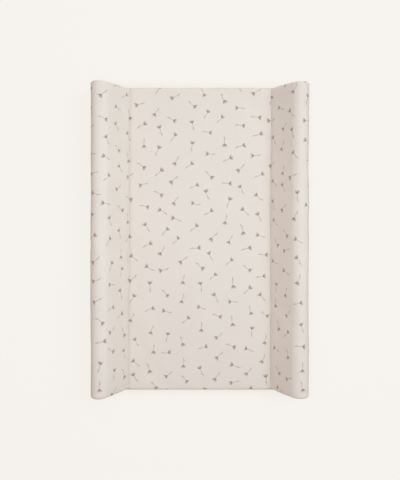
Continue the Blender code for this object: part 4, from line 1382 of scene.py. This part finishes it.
# %% Nickel
def nickel():
    finish = Finish("satin nickel", specular=0.5)
    place = finish.solid_place()
    finish.shader.inputs["Metallic"].default_value = 1.0
    scratches = finish.clouds(finish.spread(place, 0.15, 1.0), 0.25 * MM, 4.0, 0.6)
    colour = finish.uneven(paint(206, 203, 197), place, 3 * MM, 0.04)
    rough = finish.step(scratches, 0.3, 0.7, 0.2, 0.36)
    return finish.finish(colour, rough, scratches, 0.01 * MM)


NICKEL = nickel()


def superellipse(half_a, half_b, power, count=20):
    """A rounded box outline: the higher the power, the squarer."""
    turns = np.arange(count) * 2 * math.pi / count
    return np.column_stack([half * np.sign(wave) * np.abs(wave) ** (2 / power)
                            for half, wave in ((half_a, np.cos(turns)), (half_b, np.sin(turns)))])


# %% Stops
STOP_START, STOP_LENGTH = ZIP_LENGTH / 2 + GAP, 2.5 * MM
STOP_HALF_DEPTH, STOP_HALF_HEIGHT = 0.8 * MM, 2.0 * MM
# the share of the length and the size there: small at both ends and pinched in the middle
STOP_SHAPE = ((0, 0.72), (0.06, 0.9), (0.16, 1.0), (0.4, 1.0), (0.5, 0.93), (0.6, 1.0),
              (0.84, 1.0), (0.94, 0.9), (1, 0.72))

for name, node, side in (("start_stop_crimp", "zip_start_stop", -1),
                         ("end_stop_crimp", "zip_end_stop", 1)):
    rings = []
    for share, size in STOP_SHAPE:
        outline = superellipse(STOP_HALF_DEPTH * size, STOP_HALF_HEIGHT * size, 4)
        x = side * (STOP_START + STOP_LENGTH * share)
        rings.append(np.column_stack([np.full(len(outline), x), FACE_Y + outline[:, 0],
                                      ZIP_Z + outline[:, 1]]))
    stop = keep(name, joined(name, [lofted(rings)]), "mat", NICKEL)
    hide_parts(node)
print("two stops crimped")

# %% Slider
SLIDER_X, SLIDER_HALF = 204.7 * MM, 4.5 * MM
TAIL_HALF_WIDTH, MOUTH_EXTRA, ROUNDED_SHARE = 2.55 * MM, 0.42 * MM, 0.28
PLATE_FRONT, PLATE_BACK = 2.0 * MM, 1.1 * MM
FLANGE_MIDDLE, FLANGE_REACH, FLANGE_THICKNESS = 0.6 * MM, -0.8 * MM, 0.7 * MM
POST_BACK, POST_FRONT, POST_HALF_LENGTH, POST_HALF_HEIGHT = -2.3 * MM, 1.5 * MM, 0.8 * MM, 0.3 * MM
SLIDER_EDGE, SLIDER_DOME = 0.22 * MM, 0.12 * MM
BACK_PLATE = (-2.8 * MM, -1.9 * MM)
HINGE_FRONT = 2.866 * MM
BRIDGE_HALF, BRIDGE_TOP, BRIDGE_WIRE = 2.2 * MM, 4.13 * MM, 0.4 * MM
BRIDGE_ROOT, BRIDGE_STRAIGHT = 1.5 * MM, 2.2 * MM


def slider_width(share):
    """Half the slider's width along it: broad at the mouth, narrower at the tail, round at both."""
    round_off = math.sqrt(max(0.0, 1 - abs(share) ** 5))
    half_width = TAIL_HALF_WIDTH + MOUTH_EXTRA * rise(share, -0.2, 0.75)
    return half_width * (1 - ROUNDED_SHARE + ROUNDED_SHARE * round_off)


def slider_channel():
    """The front plate and its two flanges, as one section swept along the slider."""
    rings = []
    edge = SLIDER_EDGE
    for share in np.sin(np.linspace(-math.pi / 2, math.pi / 2, 17)):
        wide = slider_width(float(share))
        inner = wide - FLANGE_THICKNESS
        dome = SLIDER_DOME * (1 - share ** 2)
        half = [(wide * 0.5, PLATE_FRONT + dome * 0.7), (wide - edge, PLATE_FRONT - edge * 0.1),
                (wide - edge * 0.3, PLATE_FRONT - edge * 0.4), (wide, PLATE_FRONT - edge * 1.2),
                (wide, FLANGE_MIDDLE), (wide, FLANGE_REACH + edge), (wide - edge, FLANGE_REACH),
                (inner + edge * 0.5, FLANGE_REACH), (inner, FLANGE_REACH + edge * 0.6),
                (inner, PLATE_BACK - edge * 0.5), (inner - edge * 0.5, PLATE_BACK)]
        section = [(0, PLATE_FRONT + dome)] + half + [(-z, front) for z, front in reversed(half)]
        x = SLIDER_X + SLIDER_HALF * float(share)
        rings.append(np.array([(x, FACE_Y - front, ZIP_Z + z) for z, front in section]))
    return lofted(rings)


def slider_back():
    rings = []
    middle, half_thickness = sum(BACK_PLATE) / 2, (BACK_PLATE[1] - BACK_PLATE[0]) / 2
    for share in np.sin(np.linspace(-math.pi / 2, math.pi / 2, 13)):
        outline = superellipse(slider_width(float(share)), half_thickness, 6)
        x = SLIDER_X + SLIDER_HALF * float(share)
        rings.append(np.array([(x, FACE_Y - middle - front, ZIP_Z + z) for z, front in outline]))
    return lofted(rings)


def slider_post():
    rings = []
    outline = superellipse(POST_HALF_LENGTH, POST_HALF_HEIGHT, 4, 12)
    for front in np.linspace(POST_BACK, POST_FRONT, 5):
        rings.append(np.array([(SLIDER_X + x, FACE_Y - front, ZIP_Z + z) for x, z in outline]))
    return lofted(rings)


def slider_bridge():
    """A bent wire, square to the plate at both feet."""
    bend = min(BRIDGE_HALF, BRIDGE_TOP - PLATE_FRONT) / 2
    path = [(-BRIDGE_HALF, BRIDGE_ROOT), (-BRIDGE_HALF, BRIDGE_STRAIGHT)]
    for middle, start in ((bend - BRIDGE_HALF, math.pi), (BRIDGE_HALF - bend, math.pi / 2)):
        path += [(middle + bend * math.cos(start - math.pi / 2 * step / 8),
                  BRIDGE_TOP - bend + bend * math.sin(start - math.pi / 2 * step / 8)) for step in range(9)]
    path += [(BRIDGE_HALF, BRIDGE_STRAIGHT), (BRIDGE_HALF, BRIDGE_ROOT)]
    return tube([(SLIDER_X + x, FACE_Y - front, ZIP_Z) for x, front in path], BRIDGE_WIRE, 14)


slider_mesh = joined("slider_body", [slider_channel(), slider_back(), slider_post(), slider_bridge()])
slider = keep("slider_body", slider_mesh, "zip_slider", NICKEL)
slider_mesh.set_sharp_from_angle(angle=math.radians(40))
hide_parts("zip_slider")
print("slider", len(slider_mesh.polygons), "faces")

# %% Pull
PULL_LENGTH, PULL_HALF_WIDTH, PULL_THICKNESS = 24 * MM, 2.5 * MM, 0.8 * MM
PULL_EDGE, PULL_CORNER, BAR_HALF = 0.18 * MM, 0.8 * MM, 0.4 * MM
WINDOW_END, WINDOW_HALF_WIDTH, WINDOW_CORNER = 4.2 * MM, 1.1 * MM, 0.4 * MM
GRIP_PLACES = (5.0 * MM, 6.6 * MM, 8.2 * MM)
GRIP_RADII = np.array([0.05, 0.16, 0.18, 0.16, 0.05]) * MM
GRIP_SINK, GRIP_HALF_LENGTH = 0.04 * MM, 1.5 * MM


def pull_outline():
    """The tab's edge: straight sides, a round far end and small corners at the hinge."""
    far = [(-PULL_LENGTH + PULL_HALF_WIDTH * 0.9 * (1 - math.cos(turn)), PULL_HALF_WIDTH * math.sin(turn))
           for turn in np.linspace(math.pi / 2, -math.pi / 2, 19)]
    near = [(BAR_HALF - PULL_CORNER * (1 - math.sin(turn)),
             -PULL_HALF_WIDTH + PULL_CORNER * (1 - math.cos(turn)))
            for turn in np.linspace(0, math.pi / 2, 6)]
    near += [(x, -z) for x, z in reversed(near)]
    return far + near


def pull_window():
    middle_z = WINDOW_HALF_WIDTH - WINDOW_CORNER
    near_x, far_x = -BAR_HALF - WINDOW_CORNER, -WINDOW_END + WINDOW_CORNER
    middles = ((near_x, middle_z), (far_x, middle_z), (far_x, -middle_z), (near_x, -middle_z))
    return [(x + WINDOW_CORNER * math.cos(turn), z + WINDOW_CORNER * math.sin(turn))
            for quarter, (x, z) in enumerate(middles)
            for turn in math.pi / 2 * (quarter + np.linspace(0, 1, 5))]


def plate_from(name, outlines, thickness, edge):
    """A flat plate with rounded edges from closed outlines, the later ones holes."""
    curve = bpy.data.curves.new(name, "CURVE")
    curve.dimensions = "2D"
    curve.fill_mode = "BOTH"
    curve.extrude = thickness / 2 - edge
    curve.bevel_depth = edge
    curve.bevel_resolution = 3
    curve.offset = -edge
    for outline in outlines:
        spline = curve.splines.new("POLY")
        spline.points.add(len(outline) - 1)
        for point, (x, z) in zip(spline.points, outline):
            point.co = (x, z, 0, 1)
        spline.use_cyclic_u = True
    thing = bpy.data.objects.new(name, curve)
    bpy.context.scene.collection.objects.link(thing)
    made = bpy.data.meshes.new_from_object(thing.evaluated_get(bpy.context.evaluated_depsgraph_get()))
    bpy.data.objects.remove(thing, do_unlink=True)
    return made


def pull_mesh():
    plate = plate_from("pull_tab", [pull_outline(), pull_window()], PULL_THICKNESS, PULL_EDGE)
    points = np.array([tuple(vertex.co) for vertex in plate.vertices])
    faces = [tuple(face.vertices) for face in plate.polygons]
    middle_y = FACE_Y - HINGE_FRONT
    placed = np.column_stack([SLIDER_X + points[:, 0], middle_y - points[:, 2], ZIP_Z + points[:, 1]])
    parts = [(placed, faces)]
    for from_end in GRIP_PLACES:
        x = SLIDER_X - PULL_LENGTH + from_end
        for face_side in (-1, 1):
            y = middle_y - face_side * (PULL_THICKNESS / 2 - GRIP_SINK)
            ridge = [(x, y, ZIP_Z + z) for z in np.linspace(-GRIP_HALF_LENGTH, GRIP_HALF_LENGTH, 5)]
            parts.append(tube(ridge, GRIP_RADII, 8))
    return joined("pull_tab", parts)


pull = keep("pull_tab", pull_mesh(), "zip_pull", NICKEL)
pull.data.set_sharp_from_angle(angle=math.radians(40))
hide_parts("zip_pull")
print("pull", len(pull.data.polygons), "faces")

# %% [markdown]
# ## Stitches round the zip
# The tapes are sewn to the panel with one line of stitches along each long side of the slot, and a
# short bar across each end. They are the only stitches that show on the ends.

# %% Zip stitches
STITCH_OFFSET, STITCH_FRONT = 1.1 * MM, 0.1 * MM
ZIP_PITCH, ZIP_STITCH, ZIP_THREAD = 3.0 * MM, 2.4 * MM, 0.2 * MM
left, right = -SLOT_HALF_LENGTH - STITCH_OFFSET, SLOT_HALF_LENGTH + STITCH_OFFSET
low, high = ZIP_Z - SLOT_HALF_HEIGHT - STITCH_OFFSET, ZIP_Z + SLOT_HALF_HEIGHT + STITCH_OFFSET
parts = []
for start, end in (((left, low), (right, low)), ((left, high), (right, high)),
                   ((left, low), (left, high)), ((right, low), (right, high))):
    start, end = ((x, FACE_Y - STITCH_FRONT, z) for x, z in (start, end))
    parts += stitch_run(start, end, (0, -1, 0), ZIP_PITCH, ZIP_STITCH, ZIP_THREAD)
keep("zip_stitches", joined("zip_stitches", parts), "mat", SEWING_THREAD)
print("zip stitches", len(parts))
